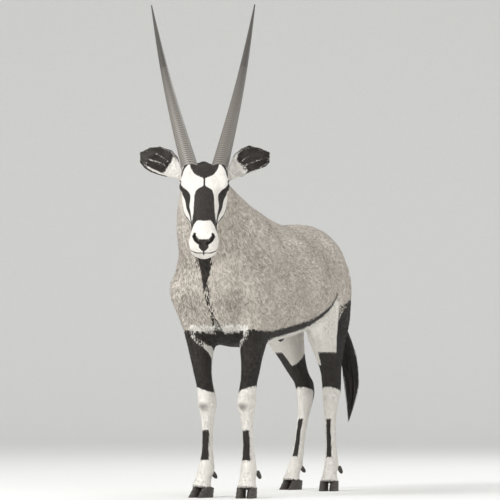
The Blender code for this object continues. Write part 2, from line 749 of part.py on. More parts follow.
def blend_joins(flesh):
    """Soften the lines where the forms meet."""
    places = points_of(flesh)
    wide = np.zeros(len(places))
    for side in (1, -1):
        for centre, radius in (((side * 0.17, -0.43, 0.86), 0.34), ((side * 0.15, 0.40, 0.88), 0.38),
                               ((side * 0.08, 0.42, 0.66), 0.20), ((side * 0.09, -0.42, 0.62), 0.13)):
            wide = np.maximum(wide, near(places, centre, radius))
    for centre, radius in (((0, -0.50, 1.02), 0.40), ((0.040, -0.740, 1.20), 0.16), ((0, 0.60, 1.03), 0.12)):
        wide = np.maximum(wide, near(places, centre, radius))
    group = weight_group(flesh, "wide_joins", np.sqrt(wide))
    apply_modifier(flesh, "SMOOTH", factor=0.5, iterations=160, vertex_group=group)
    local = in_head(points_of(flesh))
    small = near(local, (0, 0.0, -0.06), 0.13)
    group = weight_group(flesh, "small_joins", np.sqrt(small))
    apply_modifier(flesh, "SMOOTH", factor=0.5, iterations=10, vertex_group=group)


def raise_muscles(flesh):
    """Swell and hollow the skin over muscle and bone, alike on both sides."""
    places, out = points_of(flesh), normals_of(flesh)
    local = in_head(places)
    rise = np.zeros(len(places))
    for side in (1, -1):
        for x, y, z, reach, amount in BODY_SWELLS:
            rise += amount * near(places, (side * x, y, z), reach)
        for x, y, z, reach, amount in HEAD_SWELLS:
            rise += amount * near(local, (side * x, y, z), reach) / (1 if x else 2)
    set_points(flesh, places + out * rise[:, None])


def thin_faces(flesh):
    """Fewer, larger faces on the trunk, small ones kept on head and feet."""
    places = points_of(flesh)
    local = in_head(places)
    head = np.clip(local[:, 1] / 0.05 + 2.6, 0, 1) * (places[:, 1] < HEAD_CUT.y + 0.05)
    feet = np.clip((0.62 - places[:, 2]) / 0.1, 0, 1) * LEG_DETAIL
    group = weight_group(flesh, "faces", 1 - 0.9 * np.maximum(head, feet))
    apply_modifier(flesh, "DECIMATE", decimate_type="COLLAPSE", vertex_group=group,
                   vertex_group_factor=DETAIL_FORCE,
                   ratio=FLESH_TRIANGLES / (2 * len(flesh.data.polygons)), use_collapse_triangulate=True)


def foreleg_region(side):
    """A maker of the block that holds a foreleg up to its elbow."""
    def make(grow):
        profile = [(side * 0.018, -0.1), (side * 0.45, -0.1), (side * 0.45, 0.945 + grow),
                   (side * 0.018, 0.588 + grow)]
        return prism("region", profile, -0.80, -0.290 + grow, "Y")
    return make


def hindleg_region(side):
    """A maker of the block that holds a hind leg with its thigh."""
    def make(grow):
        inner, outer = side * 0.014, side * 0.45
        low, front_low, front_high = -0.1, -0.047 - grow, 0.460 - grow
        rings = [
            [Vector((inner, front_low, low)), Vector((outer, front_low, low)),
             Vector((outer, front_high, 1.45 + grow)), Vector((inner, 0.180 - grow, 0.60 + grow))],
            [Vector((inner, 0.90, low)), Vector((outer, 0.90, low)),
             Vector((outer, 0.90, 1.45 + grow)), Vector((inner, 0.90, 0.60 + grow))],
        ]
        return loft("region", rings)
    return make


def dock_region(grow):
    """The block behind the rump that holds the tail's bony part."""
    profile = [(0.592 - grow, 1.10), (0.634 - grow, 1.000), (0.652 - grow, 0.940), (0.652 - grow, 0.60),
               (1.0, 0.60), (1.0, 1.4), (0.592 - grow, 1.4)]
    return prism("region", profile, -0.070, 0.090, "X")


def forward_region(centre, normal):
    """A maker of the half space ahead of a plane."""
    def make(grow):
        return slab("region", centre - normal.normalized() * grow, normal, 2.0, 1.2)
    return make


def claw(name, middle, turn, side):
    """Half a hoof: flat below, leaning back as it rises, narrower at the toe."""
    spread = side * (HOOF_CLEFT + HOOF_WIDTH) / 2
    rings = []
    for z in (0.0, 0.006, 0.024, 0.060):
        outline = []
        shrink = 1 - 2.0 * z
        for step in range(18):
            angle = 2 * math.pi * step / 18
            across, ahead = math.cos(angle), math.sin(angle)
            x = HOOF_WIDTH / 2 * math.copysign(abs(across) ** 0.8, across)
            y = -HOOF_LENGTH / 2 * math.copysign(abs(ahead) ** 0.9, ahead)
            if y < 0:
                x *= 1 - 0.30 * (2 * y / HOOF_LENGTH) ** 2
            toe = 0.5 - y / HOOF_LENGTH
            lean = z * (0.80 * toe + 0.25 * (1 - toe))
            outline.append(middle + turn @ Vector((x * shrink + spread, y * shrink + lean, z)))
        rings.append(outline)
    return loft(name, rings, "hoof")


def coronet_plane(middle, turn):
    """A point on a hoof's upper rim and the way up out of it."""
    up = turn @ Vector((0, math.sin(CORONET_SLOPE), math.cos(CORONET_SLOPE)))
    return middle + Vector((0, 0, HOOF_HEIGHT)), up


def dewclaw(name, foot, way, grow=0.0):
    """A small blunt horn nub behind the fetlock."""
    side = way.orthogonal().normalized()
    up = way.cross(side)
    rings = []
    for reach, size in ((-grow, 1.0), (0.55 * DEWCLAW_LENGTH, 0.95), (0.85 * DEWCLAW_LENGTH, 0.70),
                        (DEWCLAW_LENGTH + grow, 0.30)):
        radius = DEWCLAW_RADIUS * size + grow
        rings.append(ring(foot + way * reach, side, up, radius * 0.8, radius, radius, count=10))
    return loft(name, rings, "hoof")


def feet(legs):
    """Cut each leg at its coronet and set two claws and two dewclaws on it."""
    for name, leg in legs.items():
        fore = "front" in name
        side = 1 if "left" in name else -1
        place = FORE_HOOF if fore else HIND_HOOF
        step = RIGHT_HIND_STEP if not fore and side < 0 else 0.0
        middle = Vector((side * place.x, place.y + step, 0))
        turn = Matrix.Rotation(side * TOE_OUT, 3, "Z")
        rim, up = coronet_plane(middle, turn)
        combine(leg, [slab("below", rim + up * GAP, -up, 0.3, 0.12)], "DIFFERENCE")
        short = name.replace("leg_", "")
        for half in (1, -1):
            which = "outer" if half == side else "inner"
            body = claw(f"hoof_{short}_{which}", middle, turn, half)
            combine(body, [slab("above", rim, up, 0.3, 0.12)], "DIFFERENCE")
            keep_largest(body)
            back, height = FORE_DEWCLAW if fore else HIND_DEWCLAW
            foot = Vector((middle.x + half * DEWCLAW_SIDE, back + step, height))
            way = (turn @ Vector((half * 0.25, 0.62, -0.72))).normalized()
            combine(leg, [dewclaw("socket", foot, way, GAP)], "DIFFERENCE")
            dewclaw(f"dewclaw_{short}_{which}", foot, way)
        keep_largest(leg)


def surface_hit(thing, start, way):
    """Where a line from inside a body leaves it."""
    hit, place, _, _ = thing.ray_cast(start, way)
    return place if hit else start + way * 0.05


def mouth_cutter(head):
    """A thin wedge that follows the lips round the muzzle."""
    to_body = head_frame()
    turn = to_body.to_3x3()
    rings = []
    for step in range(25):
        u = 2 * step / 24 - 1
        start = to_body @ (MOUTH_MIDDLE - Vector((0, 0, MOUTH_FALL * abs(u))))
        angle = u * MOUTH_REACH
        way = turn @ Vector((math.sin(angle), math.cos(angle), 0))
        place = surface_hit(head, start, way)
        thin = turn @ Vector((0, 0, 0.0010 + 0.0012 * (1 - abs(u))))
        rings.append([place + way * 0.006 + thin, place - way * 0.007, place + way * 0.006 - thin])
    return loft("mouth", rings)


def nostril_cutter(head, side):
    """A comma-shaped hollow at the tip of the nose."""
    to_body = head_frame()
    turn = to_body.to_3x3()
    rings = []
    for x, along, deep, radius in smooth_rows([
        (0.0345, 0.322, -0.050, 0.0022), (0.0370, 0.333, -0.050, 0.0050), (0.0300, 0.345, -0.050, 0.0062),
        (0.0190, 0.355, -0.050, 0.0050), (0.0110, 0.361, -0.050, 0.0022),
    ], 9):
        start = to_body @ Vector((side * x, along - 0.010, -0.060))
        way = (turn @ Vector((side * 0.25, 0.45, 0.86))).normalized()
        place = surface_hit(head, start, way)
        across = (turn @ Vector((side * 0.6, 0.6, -0.4))).normalized()
        across = (across - way * across.dot(way)).normalized()
        up = way.cross(across).normalized()
        rings.append((place, way, radius, across, up))
    outlines = []
    for number, (place, way, radius, across, up) in enumerate(rings):
        ahead = rings[min(number + 1, 8)][0] - rings[max(number - 1, 0)][0]
        flat = ahead.cross(way).normalized()
        outlines.append(ring(place, flat, way, radius, 0.010, radius * 1.6 + 0.003, count=10))
    return loft("nostril", outlines)


def lid_slit(side):
    """The almond-shaped block that opens the lids."""
    to_body = head_frame()
    along = Vector((0, math.cos(EYE_TILT), math.sin(EYE_TILT)))
    up = Vector((0, -math.sin(EYE_TILT), math.cos(EYE_TILT)))
    rings = []
    for reach, size in ((0.3, 0.9), (1.0, 1.0), (1.6, 1.12)):
        outline = []
        for step in range(16):
            angle = 2 * math.pi * step / 16
            tall = SLIT_UPPER if step < 8 else SLIT_LOWER
            point = along * SLIT_HALF * math.cos(angle) + up * tall * math.sin(angle)
            out = Vector((EYE_RADIUS * reach, 0, 0))
            x, y, z = EYE_PLACE + point * size + out
            outline.append(to_body @ Vector((side * x, y, z)))
        rings.append(outline)
    return loft("slit", rings)


def open_face(head):
    """Lids over the eyes, sockets, nostrils and the line of the mouth; eyes in place."""
    to_body = head_frame()
    middles = {side: to_body @ Vector((side * EYE_PLACE.x, EYE_PLACE.y, EYE_PLACE.z)) for side in (1, -1)}
    over, room = EYE_RADIUS + LID_THICKNESS, EYE_RADIUS + GAP
    combine(head, [ball("lids", place, (over,) * 3, segments=18) for place in middles.values()], "UNION")
    cutters = [mouth_cutter(head), nostril_cutter(head, 1), nostril_cutter(head, -1)]
    for side, place in middles.items():
        cutters += [ball("socket", place, (room,) * 3), lid_slit(side)]
        ball("eye_left" if side > 0 else "eye_right", place, (EYE_RADIUS,) * 3, finish="eye")
    combine(head, cutters, "DIFFERENCE")
    keep_largest(head)


def main():
    """Build every piece."""
    clear_scene()
    rest = flesh_form()
    legs = {}
    for side, word in ((1, "left"), (-1, "right")):
        legs[f"leg_front_{word}"] = part_off(rest, f"leg_front_{word}", foreleg_region(side))
        legs[f"leg_hind_{word}"] = part_off(rest, f"leg_hind_{word}", hindleg_region(side))
    feet(legs)
    dock = part_off(rest, "tail_dock", dock_region)
    end = Vector((0.05, 0.70, TAIL_CUT))
    combine(dock, [slab("below", end + Vector((0, 0, GAP)), Vector((0, 0, -1)), 0.3, 0.2)], "DIFFERENCE")
    keep_largest(dock)
    tuft = tail_hair()
    combine(tuft, [slab("above", end, Vector((0, 0, 1)), 0.3, 0.2)], "DIFFERENCE")
    keep_largest(tuft)

    forward = Vector((math.sin(HEAD_TURN), -math.cos(HEAD_TURN), 0))
    head = part_off(rest, "head", forward_region(HEAD_CUT, forward))
    neck = part_off(rest, "neck", forward_region(Vector((0, -0.500, 1.040)), Vector((0, -0.751, 0.660))))
    rest.name = "torso"
    keep_largest(rest)
    combine(head, [horn_room(1), horn_room(-1)], "DIFFERENCE")
    for side, word in ((1, "left"), (-1, "right")):
        foot, axis, _, _ = ear_axes(side)
        cut = foot + axis * (EAR_STALK - GAP)
        combine(head, [slab("beyond", cut, axis, EAR_STUMP_OVER, EAR_STUMP_SIDE)], "DIFFERENCE")
        ear(side, f"ear_{word}")
        horn(side, f"horn_{word}")
    open_face(head)
    for thing in bpy.data.objects:
        thing.matrix_world = Matrix.Translation(BOX_SHIFT) @ thing.matrix_world
        thing.data.shade_smooth()
        thing.data.set_sharp_from_angle(angle=math.radians(40))


main()
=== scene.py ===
"""A gemsbok standing still, at life size, in metres, +Z up, facing -Y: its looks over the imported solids."""
import logging
import math
from dataclasses import dataclass, field
from enum import Enum

import bmesh
import bpy
import numpy as np
from bpy.types import Material, Mesh, Node, NodeSocket, NodeTree, Object
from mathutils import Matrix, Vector


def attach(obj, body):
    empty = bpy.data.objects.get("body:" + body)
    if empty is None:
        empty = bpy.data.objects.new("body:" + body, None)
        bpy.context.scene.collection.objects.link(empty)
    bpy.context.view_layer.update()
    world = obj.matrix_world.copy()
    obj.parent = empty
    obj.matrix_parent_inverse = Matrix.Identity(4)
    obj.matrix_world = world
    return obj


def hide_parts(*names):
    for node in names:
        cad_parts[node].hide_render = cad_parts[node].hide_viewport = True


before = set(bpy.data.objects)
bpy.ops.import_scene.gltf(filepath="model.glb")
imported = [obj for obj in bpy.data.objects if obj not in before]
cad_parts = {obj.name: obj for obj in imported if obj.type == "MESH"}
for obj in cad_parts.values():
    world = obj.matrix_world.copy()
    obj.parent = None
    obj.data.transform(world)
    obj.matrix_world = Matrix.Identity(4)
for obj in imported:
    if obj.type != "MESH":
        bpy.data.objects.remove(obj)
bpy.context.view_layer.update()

logging.basicConfig(level=logging.INFO, format="%(name)s: %(message)s")
log = logging.getLogger("gemsbok")

Array = np.ndarray
SHIFT = np.array((0.034, 0.152, 0.0))
"""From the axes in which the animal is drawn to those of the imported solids."""
FULL_TURN = 6.2832
TO_LEFT, TO_BACK, UP = np.eye(3)
"""The animal's own left, its back and the way up."""


class Side(Enum):
    """The animal's own left and right."""

    LEFT = 1
    RIGHT = -1


class Limb(Enum):
    """The two pairs of legs."""

    FRONT = "front"
    HIND = "hind"


def linear(colour: str) -> tuple[float, float, float, float]:
    """Turn an sRGB colour into the shader's linear values.

    Args:
        colour: six hex digits after a hash sign.

    Returns:
        Red, green, blue and full opacity.
    """
    values = np.array([int(colour[start:start + 2], 16) for start in (1, 3, 5)]) / 255
    low, high = values / 12.92, ((values + 0.055) / 1.055) ** 2.4
    return (*np.where(values <= 0.04045, low, high).tolist(), 1.0)


def unit(values: Array) -> Array:
    """Scale vectors to length one."""
    return values / np.maximum(np.linalg.norm(values, axis=-1, keepdims=True), 1e-12)


def ramp(values: Array, low: float, high: float) -> Array:
    """Rise smoothly from 0 at one value to 1 at another.

    Args:
        values: where to read the ramp.
        low: where it is 0.
        high: where it is 1.

    Returns:
        3 t squared less 2 t cubed, with t the clipped share of the way.
    """
    share = np.clip((values - low) / (high - low), 0.0, 1.0)
    return share * share * (3 - 2 * share)


def near(places: Array, centre: tuple[float, ...], radius: float) -> Array:
    """Measure how near each place is to a centre.

    Args:
        places: points in rows.
        centre: the middle of the ball.
        radius: where the value reaches 0.

    Returns:
        (1 less the squared share of the radius) squared, 0 outside.
    """
    apart = np.linalg.norm(places - np.array(centre), axis=-1) / radius
    return np.clip(1 - apart**2, 0, 1) ** 2


def smooth_rows(rows: list, count: int, measured: int = 3) -> Array:
    """Read rows of values along a smooth curve through the given rows.

    Args:
        rows: the rows passed through.
        count: how many rows to return, evenly apart.
        measured: how many first columns measure the distance between rows.

    Returns:
        Cubic pieces whose slopes at each row are the weighted mean of the two beside it.
    """
    rows = np.array(rows, float)
    places = np.zeros(len(rows))
    places[1:] = np.cumsum(np.linalg.norm(np.diff(rows[:, :measured], axis=0), axis=1))
    steps = np.diff(places)[:, None]
    slopes = np.diff(rows, axis=0) / steps
    tangents = np.empty_like(rows)
    tangents[0], tangents[-1] = slopes[0], slopes[-1]
    tangents[1:-1] = (slopes[:-1] * steps[1:] + slopes[1:] * steps[:-1]) / (steps[1:] + steps[:-1])
    at = np.linspace(0, places[-1], count)
    part = np.clip(np.searchsorted(places, at, side="right") - 1, 0, len(rows) - 2)
    step = steps[part]
    t = (at - places[part])[:, None] / step
    return ((2 * t**3 - 3 * t**2 + 1) * rows[part] + (t**3 - 2 * t**2 + t) * step * tangents[part]
            + (3 * t**2 - 2 * t**3) * rows[part + 1] + (t**3 - t**2) * step * tangents[part + 1])


def line_distance(points: Array, line: Array) -> tuple[Array, Array]:
    """Measure the way to a bent line.

    Args:
        points: points in rows.
        line: the line's corners in rows.

    Returns:
        The shortest distance to the line, and the number of the corner there, with the share to the next.
    """
    best = np.full(len(points), np.inf)
    place = np.zeros(len(points))
    for number, (start, end) in enumerate(zip(line[:-1], line[1:])):
        way = end - start
        share = np.clip((points - start) @ way / (way @ way), 0, 1)
        apart = np.linalg.norm(points - start - share[:, None] * way, axis=1)
        closer = apart < best
        best = np.where(closer, apart, best)
        place = np.where(closer, number + share, place)
    return best, place


@dataclass
class Surface:
    """Points and the faces between them.

    Args:
        places: points in rows.
        faces: arrays of corner numbers, one array for each number of corners.
    """

    places: Array
    faces: list[Array]

    @staticmethod
    def tube(grid: Array, capped: bool = True) -> "Surface":
        """Carry closed outlines along a path.

        Args:
            grid: outlines in rows, each a ring of points.
            capped: whether fans of triangles close the ends.

        Returns:
            Quads between neighbours in the grid, the last of each outline joined to its first.
        """
        rows, count = grid.shape[:2]
        number = np.arange(rows * count).reshape(rows, count)
        after = np.roll(number, -1, axis=1)
        quads = np.stack((number[:-1], after[:-1], after[1:], number[1:]), axis=-1).reshape(-1, 4)
        places = grid.reshape(-1, 3)
        if not capped:
            return Surface(places, [quads])
        ends = np.array([grid[0].mean(0), grid[-1].mean(0)])
        first = np.full(count, rows * count)
        start = np.stack((first, after[0], number[0]), axis=-1)
        finish = np.stack((first + 1, number[-1], after[-1]), axis=-1)
        return Surface(np.vstack((places, ends)), [quads, np.vstack((start, finish))])

    @staticmethod
    def joined(parts: list["Surface"]) -> "Surface":
        """Put several surfaces in one.

        Args:
            parts: the surfaces.

        Returns:
            All their points and faces.
        """
        starts = np.cumsum([0] + [len(part.places) for part in parts[:-1]])
        faces = [corners + start for part, start in zip(parts, starts) for corners in part.faces]
        return Surface(np.vstack([part.places for part in parts]), faces)

    def mesh(self, name: str) -> Mesh:
        """Make the mesh.

        Args:
            name: the mesh's name.

        Returns:
            The new mesh, shaded smooth.
        """
        made = bpy.data.meshes.new(name)
        corners = np.concatenate([part.ravel() for part in self.faces]).astype(np.int32)
        sizes = np.concatenate([np.full(len(part), part.shape[1]) for part in self.faces])
        starts = np.concatenate(([0], np.cumsum(sizes)[:-1])).astype(np.int32)
        made.vertices.add(len(self.places))
        made.vertices.foreach_set("co", self.places.astype(np.float32).ravel())
        made.loops.add(len(corners))
        made.loops.foreach_set("vertex_index", corners)
        made.polygons.add(len(sizes))
        made.polygons.foreach_set("loop_start", starts)
        made.update(calc_edges=True)
        made.validate()
        made.shade_smooth()
        return made


def outlines(centre: Array, side: Array, up: Array, half: Array, above: Array, below: Array,
             square_above: Array | float, square_below: Array | float, count: int) -> Array:
    """Draw rounded outlines with their own reach above and below the widest line.

    Args:
        centre: the middles, in rows.
        side: the way to the side, one long.
        up: the way up, one long.
        half: half the width.
        above: reach upwards.
        below: reach downwards.
        square_above: power of the curve above, 2 for an ellipse.
        square_below: the same below.
        count: points in each outline.

    Returns:
        Points at side x half x cos to the power 2/p plus up x reach x sin to the power 2/p.
    """
    side, up = (np.broadcast_to(way, centre.shape) for way in (side, up))
    square_above, square_below = (np.broadcast_to(power, half.shape) for power in (square_above, square_below))
    angle = np.linspace(0, 2 * np.pi, count, endpoint=False)
    across, rise = np.cos(angle), np.sin(angle)
    upper = rise >= -1e-12
    reach = np.where(upper, above[:, None], below[:, None])
    power = 2 / np.where(upper, square_above[:, None], square_below[:, None])
    x = half[:, None] * np.sign(across) * np.abs(across) ** power
    z = reach * np.sign(rise) * np.abs(rise) ** power
    return centre[:, None] + side[:, None] * x[..., None] + up[:, None] * z[..., None]


def round_tube(centre: Array, side: Array, up: Array, radius: Array, count: int) -> "Surface":
    """Carry circles along a path."""
    return Surface.tube(outlines(centre, side, up, radius, radius, radius, 2.0, 2.0, count))


def add_piece(name: str, mesh: Mesh, finish: Material | None = None) -> Object:
    """Show a mesh as a piece that stands on the frame's own axes.

    Args:
        name: the piece's name.
        mesh: its mesh.
        finish: its material.

    Returns:
        The new object.
    """
    thing = bpy.data.objects.new(name, mesh)
    bpy.context.scene.collection.objects.link(thing)
    if finish:
        mesh.materials.append(finish)
    return thing


def finished(name: str, surface: Surface, finish: Material) -> Object:
    """Show a surface drawn in the animal's axes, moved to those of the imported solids.

    Args:
        name: the piece's name.
        surface: its shape.
        finish: its material.

    Returns:
        The new object, riding on the model.
    """
    moved = Surface(surface.places + SHIFT, surface.faces)
    thing = add_piece(name, moved.mesh(name), finish)
    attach(thing, "root")
    log.info("%s: %d points", name, len(surface.places))
    return thing


def apply(thing: Object, kind: str, **settings: object) -> None:
    """Add a modifier and keep what it makes.

    Args:
        thing: the object changed.
        kind: the modifier's type.
        settings: its values.
    """
    modifier = thing.modifiers.new(kind.lower(), kind)
    for name, value in settings.items():
        setattr(modifier, name, value)
    made = bpy.data.meshes.new_from_object(thing.evaluated_get(bpy.context.evaluated_depsgraph_get()))
    thing.modifiers.clear()
    old, thing.data = thing.data, made
    thing.vertex_groups.clear()
    bpy.data.meshes.remove(old)


def read(mesh: Mesh, what: str = "co") -> Array:
    """Read points or directions out of a mesh.

    Args:
        mesh: the mesh.
        what: co for the points, normal for the directions they face.

    Returns:
        Three values a row.
    """
    values = np.empty(len(mesh.vertices) * 3, np.float32)
    mesh.vertices.foreach_get(what, values)
    return values.reshape(-1, 3).astype(float)


def write(mesh: Mesh, places: Array) -> None:
    """Move a mesh's points."""
    mesh.vertices.foreach_set("co", places.astype(np.float32).ravel())
    mesh.update()


def weigh(thing: Object, weights: Array) -> str:
    """Give the points of an object weights in twenty steps.

    Args:
        thing: the object.
        weights: a weight for each point.

    Returns:
        The name of the new group.
    """
    group = thing.vertex_groups.new(name="share")
    levels = np.round(np.clip(weights, 0, 1) * 20).astype(int)
    for level in range(1, 21):
        group.add(np.flatnonzero(levels == level).tolist(), level / 20, "REPLACE")
    return group.name


def note(mesh: Mesh, name: str, values: Array) -> None:
    """Store one value for each point."""
    kept = mesh.attributes.new(name, "FLOAT", "POINT")
    kept.data.foreach_set("value", values.astype(np.float32))


@dataclass
class BodyPlan:
    """The animal's sizes, in its own axes: x to its left, y to its back, z up.

    Args:
        head_place: the middle of the forehead between the horns.
        head_turn: how far the head looks to the animal's left.
        face_slope: how far the face leans from upright.
        eye_place: sideways, along the face, out of the face.
        eye_radius: the ball's radius.
        eye_tilt: the slit's slope against the face.
        horn_foot: sideways, along the face, out of the face.
        ear_foot: the same for an ear's root.
        ear_stalk: from the root to the cup.
        ear_length: the cup.
        ear_rise: the ear's slope over the horizon.
    """

    head_place: Array = field(default_factory=lambda: np.array((0.082, -0.86, 1.288)))
    head_turn: float = math.radians(22.0)
    face_slope: float = math.radians(35.0)
    eye_place: tuple = (0.0775, 0.07, -0.04)
    eye_radius: float = 0.0195
    eye_tilt: float = math.radians(12.0)
    horn_foot: tuple = (0.055, -0.012, -0.036)
    ear_foot: tuple = (0.074, -0.004, -0.092)
    ear_stalk: float = 0.024
    ear_length: float = 0.185
    ear_rise: float = math.radians(37.0)

    # Along the back, top, bottom, half width, height of the widest line, squareness above and below
    trunk = [
        (-0.652, 0.985, 0.85, 0.05, 0.915, 2.0, 2.0), (-0.615, 1.045, 0.765, 0.11, 0.9, 2.0, 2.0),
        (-0.56, 1.105, 0.69, 0.162, 0.88, 1.9, 2.0), (-0.48, 1.168, 0.635, 0.204, 0.86, 1.75, 2.0),
        (-0.4, 1.2, 0.607, 0.224, 0.85, 1.65, 2.1), (-0.3, 1.187, 0.6, 0.232, 0.84, 1.65, 2.2),
        (-0.17, 1.149, 0.612, 0.241, 0.84, 1.8, 2.2), (-0.02, 1.124, 0.632, 0.248, 0.848, 1.95, 2.2),
        (0.12, 1.12, 0.652, 0.243, 0.865, 2.0, 2.2), (0.25, 1.128, 0.68, 0.226, 0.895, 2.0, 2.1),
        (0.37, 1.136, 0.715, 0.204, 0.92, 2.0, 2.0), (0.47, 1.128, 0.755, 0.172, 0.93, 2.0, 2.0),
        (0.545, 1.09, 0.79, 0.13, 0.93, 2.0, 2.0), (0.6, 1.035, 0.845, 0.078, 0.94, 2.0, 2.0),
        (0.624, 0.985, 0.885, 0.036, 0.935, 2.0, 2.0),
    ]
    # Crest (back, up), throat (back, up), sideways place, half width
    neck = [
        (-0.2, 1.112, -0.56, 0.72, 0.0, 0.17), (-0.35, 1.196, -0.655, 0.89, -0.006, 0.157),
        (-0.48, 1.232, -0.698, 0.98, -0.002, 0.136), (-0.6, 1.266, -0.728, 1.04, 0.01, 0.116),
        (-0.71, 1.298, -0.752, 1.08, 0.027, 0.099), (-0.79, 1.32, -0.785, 1.102, 0.047, 0.086),
    ]
    # Along the face, top, bottom, half width, place of the widest line, squareness above and below
    head = [
        (-0.088, -0.098, -0.15, 0.034, -0.122, 2.0, 2.0),
        (-0.062, -0.064, -0.18, 0.062, -0.115, 2.0, 2.0),
        (-0.028, -0.016, -0.2, 0.08, -0.095, 2.1, 2.0), (0.019, 0.003, -0.214, 0.087, -0.07, 2.3, 2.0),
        (0.057, 0.004, -0.217, 0.089, -0.06, 2.4, 1.9), (0.09, 0.003, -0.214, 0.088, -0.062, 2.4, 1.8),
        (0.123, 0.002, -0.203, 0.083, -0.08, 2.3, 1.8), (0.158, 0.001, -0.184, 0.075, -0.09, 2.2, 1.9),
        (0.193, 0.0, -0.161, 0.064, -0.082, 2.2, 2.0), (0.227, -0.001, -0.141, 0.055, -0.07, 2.3, 2.0),
        (0.262, -0.002, -0.126, 0.05, -0.062, 2.4, 2.1), (0.297, -0.005, -0.116, 0.051, -0.058, 2.4, 2.2),
        (0.328, -0.011, -0.11, 0.055, -0.056, 2.4, 2.2), (0.352, -0.02, -0.107, 0.054, -0.058, 2.3, 2.2),
        (0.37, -0.032, -0.103, 0.047, -0.062, 2.2, 2.2), (0.381, -0.046, -0.094, 0.03, -0.068, 2.0, 2.0),
    ]
    # Height, front, back, inner side, outer side
    foreleg = [
        (1.08, -0.43, -0.34, 0.05, 0.12), (0.96, -0.51, -0.335, 0.05, 0.18),
        (0.84, -0.585, -0.315, 0.05, 0.214), (0.74, -0.56, -0.31, 0.055, 0.204),
        (0.67, -0.525, -0.322, 0.06, 0.18), (0.61, -0.508, -0.352, 0.062, 0.16),
        (0.55, -0.498, -0.38, 0.067, 0.148), (0.5, -0.489, -0.391, 0.068, 0.138),
        (0.45, -0.481, -0.398, 0.062, 0.127), (0.41, -0.482, -0.393, 0.053, 0.122),
        (0.37, -0.484, -0.391, 0.049, 0.12), (0.33, -0.47, -0.395, 0.057, 0.113),
        (0.28, -0.46, -0.4, 0.065, 0.108), (0.19, -0.456, -0.396, 0.067, 0.11),
        (0.145, -0.462, -0.39, 0.063, 0.117), (0.11, -0.472, -0.39, 0.06, 0.123),
        (0.075, -0.488, -0.412, 0.064, 0.127), (0.03, -0.51, -0.428, 0.058, 0.138),
        (0.01, -0.512, -0.428, 0.058, 0.138),
    ]
    hindleg = [
        (1.05, 0.37, 0.525, 0.04, 0.1), (1.0, 0.33, 0.588, 0.035, 0.148),
        (0.92, 0.27, 0.612, 0.03, 0.178), (0.82, 0.222, 0.62, 0.03, 0.188),
        (0.73, 0.218, 0.604, 0.032, 0.185), (0.66, 0.258, 0.583, 0.04, 0.174),
        (0.6, 0.325, 0.57, 0.048, 0.158), (0.55, 0.386, 0.568, 0.053, 0.144),
        (0.5, 0.446, 0.578, 0.052, 0.132), (0.46, 0.482, 0.606, 0.045, 0.12),
        (0.42, 0.502, 0.604, 0.042, 0.116), (0.375, 0.507, 0.583, 0.046, 0.111),
        (0.33, 0.504, 0.567, 0.055, 0.107), (0.27, 0.492, 0.55, 0.063, 0.109),
        (0.19, 0.48, 0.535, 0.07, 0.116), (0.145, 0.468, 0.531, 0.071, 0.123),
        (0.105, 0.451, 0.528, 0.072, 0.131), (0.075, 0.428, 0.499, 0.074, 0.133),
        (0.03, 0.403, 0.487, 0.068, 0.146), (0.01, 0.403, 0.487, 0.068, 0.146),
    ]
    # Sideways, back, up, radius
    dock = [
        (0.0, 0.545, 1.035, 0.034), (0.0, 0.612, 1.008, 0.03), (0.01, 0.66, 0.946, 0.024),
        (0.032, 0.686, 0.85, 0.019), (0.056, 0.698, 0.755, 0.016),
    ]
    tuft = [
        (0.058, 0.698, 0.76, 0.015), (0.078, 0.706, 0.67, 0.028), (0.102, 0.71, 0.56, 0.038),
        (0.114, 0.71, 0.46, 0.034), (0.11, 0.708, 0.37, 0.022), (0.1, 0.706, 0.29, 0.006),
    ]
    sheath = [
        (0.0, 0.235, 0.7, 0.03), (0.0, 0.175, 0.668, 0.024), (0.0, 0.14, 0.64, 0.013),
    ]
    # Along the ear, half width, depth of the cup, how far it is hollowed
    ear = [
        (0.0, 0.019, 0.0185, 0.0), (0.1, 0.025, 0.022, 0.12), (0.25, 0.041, 0.029, 0.62),
        (0.42, 0.0545, 0.03, 0.92), (0.6, 0.059, 0.024, 1.0), (0.78, 0.051, 0.0165, 1.0),
        (0.91, 0.033, 0.01, 1.0), (1.0, 0.008, 0.0055, 1.0),
    ]
    # Sideways, back, up, reach, rise
    body_swells = [
        (0.185, -0.56, 0.83, 0.11, 0.012), (0.19, -0.43, 1.01, 0.17, 0.01),
        (0.2, -0.37, 0.78, 0.13, 0.01), (0.14, -0.5, 0.61, 0.1, 0.005),
        (0.172, 0.27, 1.05, 0.08, 0.012), (0.185, 0.45, 0.92, 0.19, 0.01),
        (0.08, 0.612, 0.975, 0.065, 0.011), (0.24, 0.19, 0.92, 0.13, -0.009),
        (0.18, 0.24, 0.73, 0.085, 0.007), (0.18, -0.64, 0.98, 0.12, -0.006),
        (0.23, -0.28, 1.08, 0.12, -0.008), (0.08, -0.482, 0.378, 0.036, 0.004),
        (0.13, 0.59, 0.74, 0.1, 0.005),
    ]
    # Sideways, along the face, out of the face, reach, rise
    head_swells = [
        (0.086, 0.066, -0.03, 0.042, 0.012), (0.062, 0.128, -0.03, 0.045, -0.006),
        (0.08, 0.113, -0.13, 0.08, 0.006), (0.06, 0.203, -0.08, 0.05, -0.005),
        (0.035, 0.333, -0.022, 0.028, 0.006), (0.05, 0.312, -0.058, 0.04, 0.003),
        (0.0, 0.358, -0.1, 0.03, 0.004), (0.078, 0.02, -0.11, 0.05, -0.005),
    ]
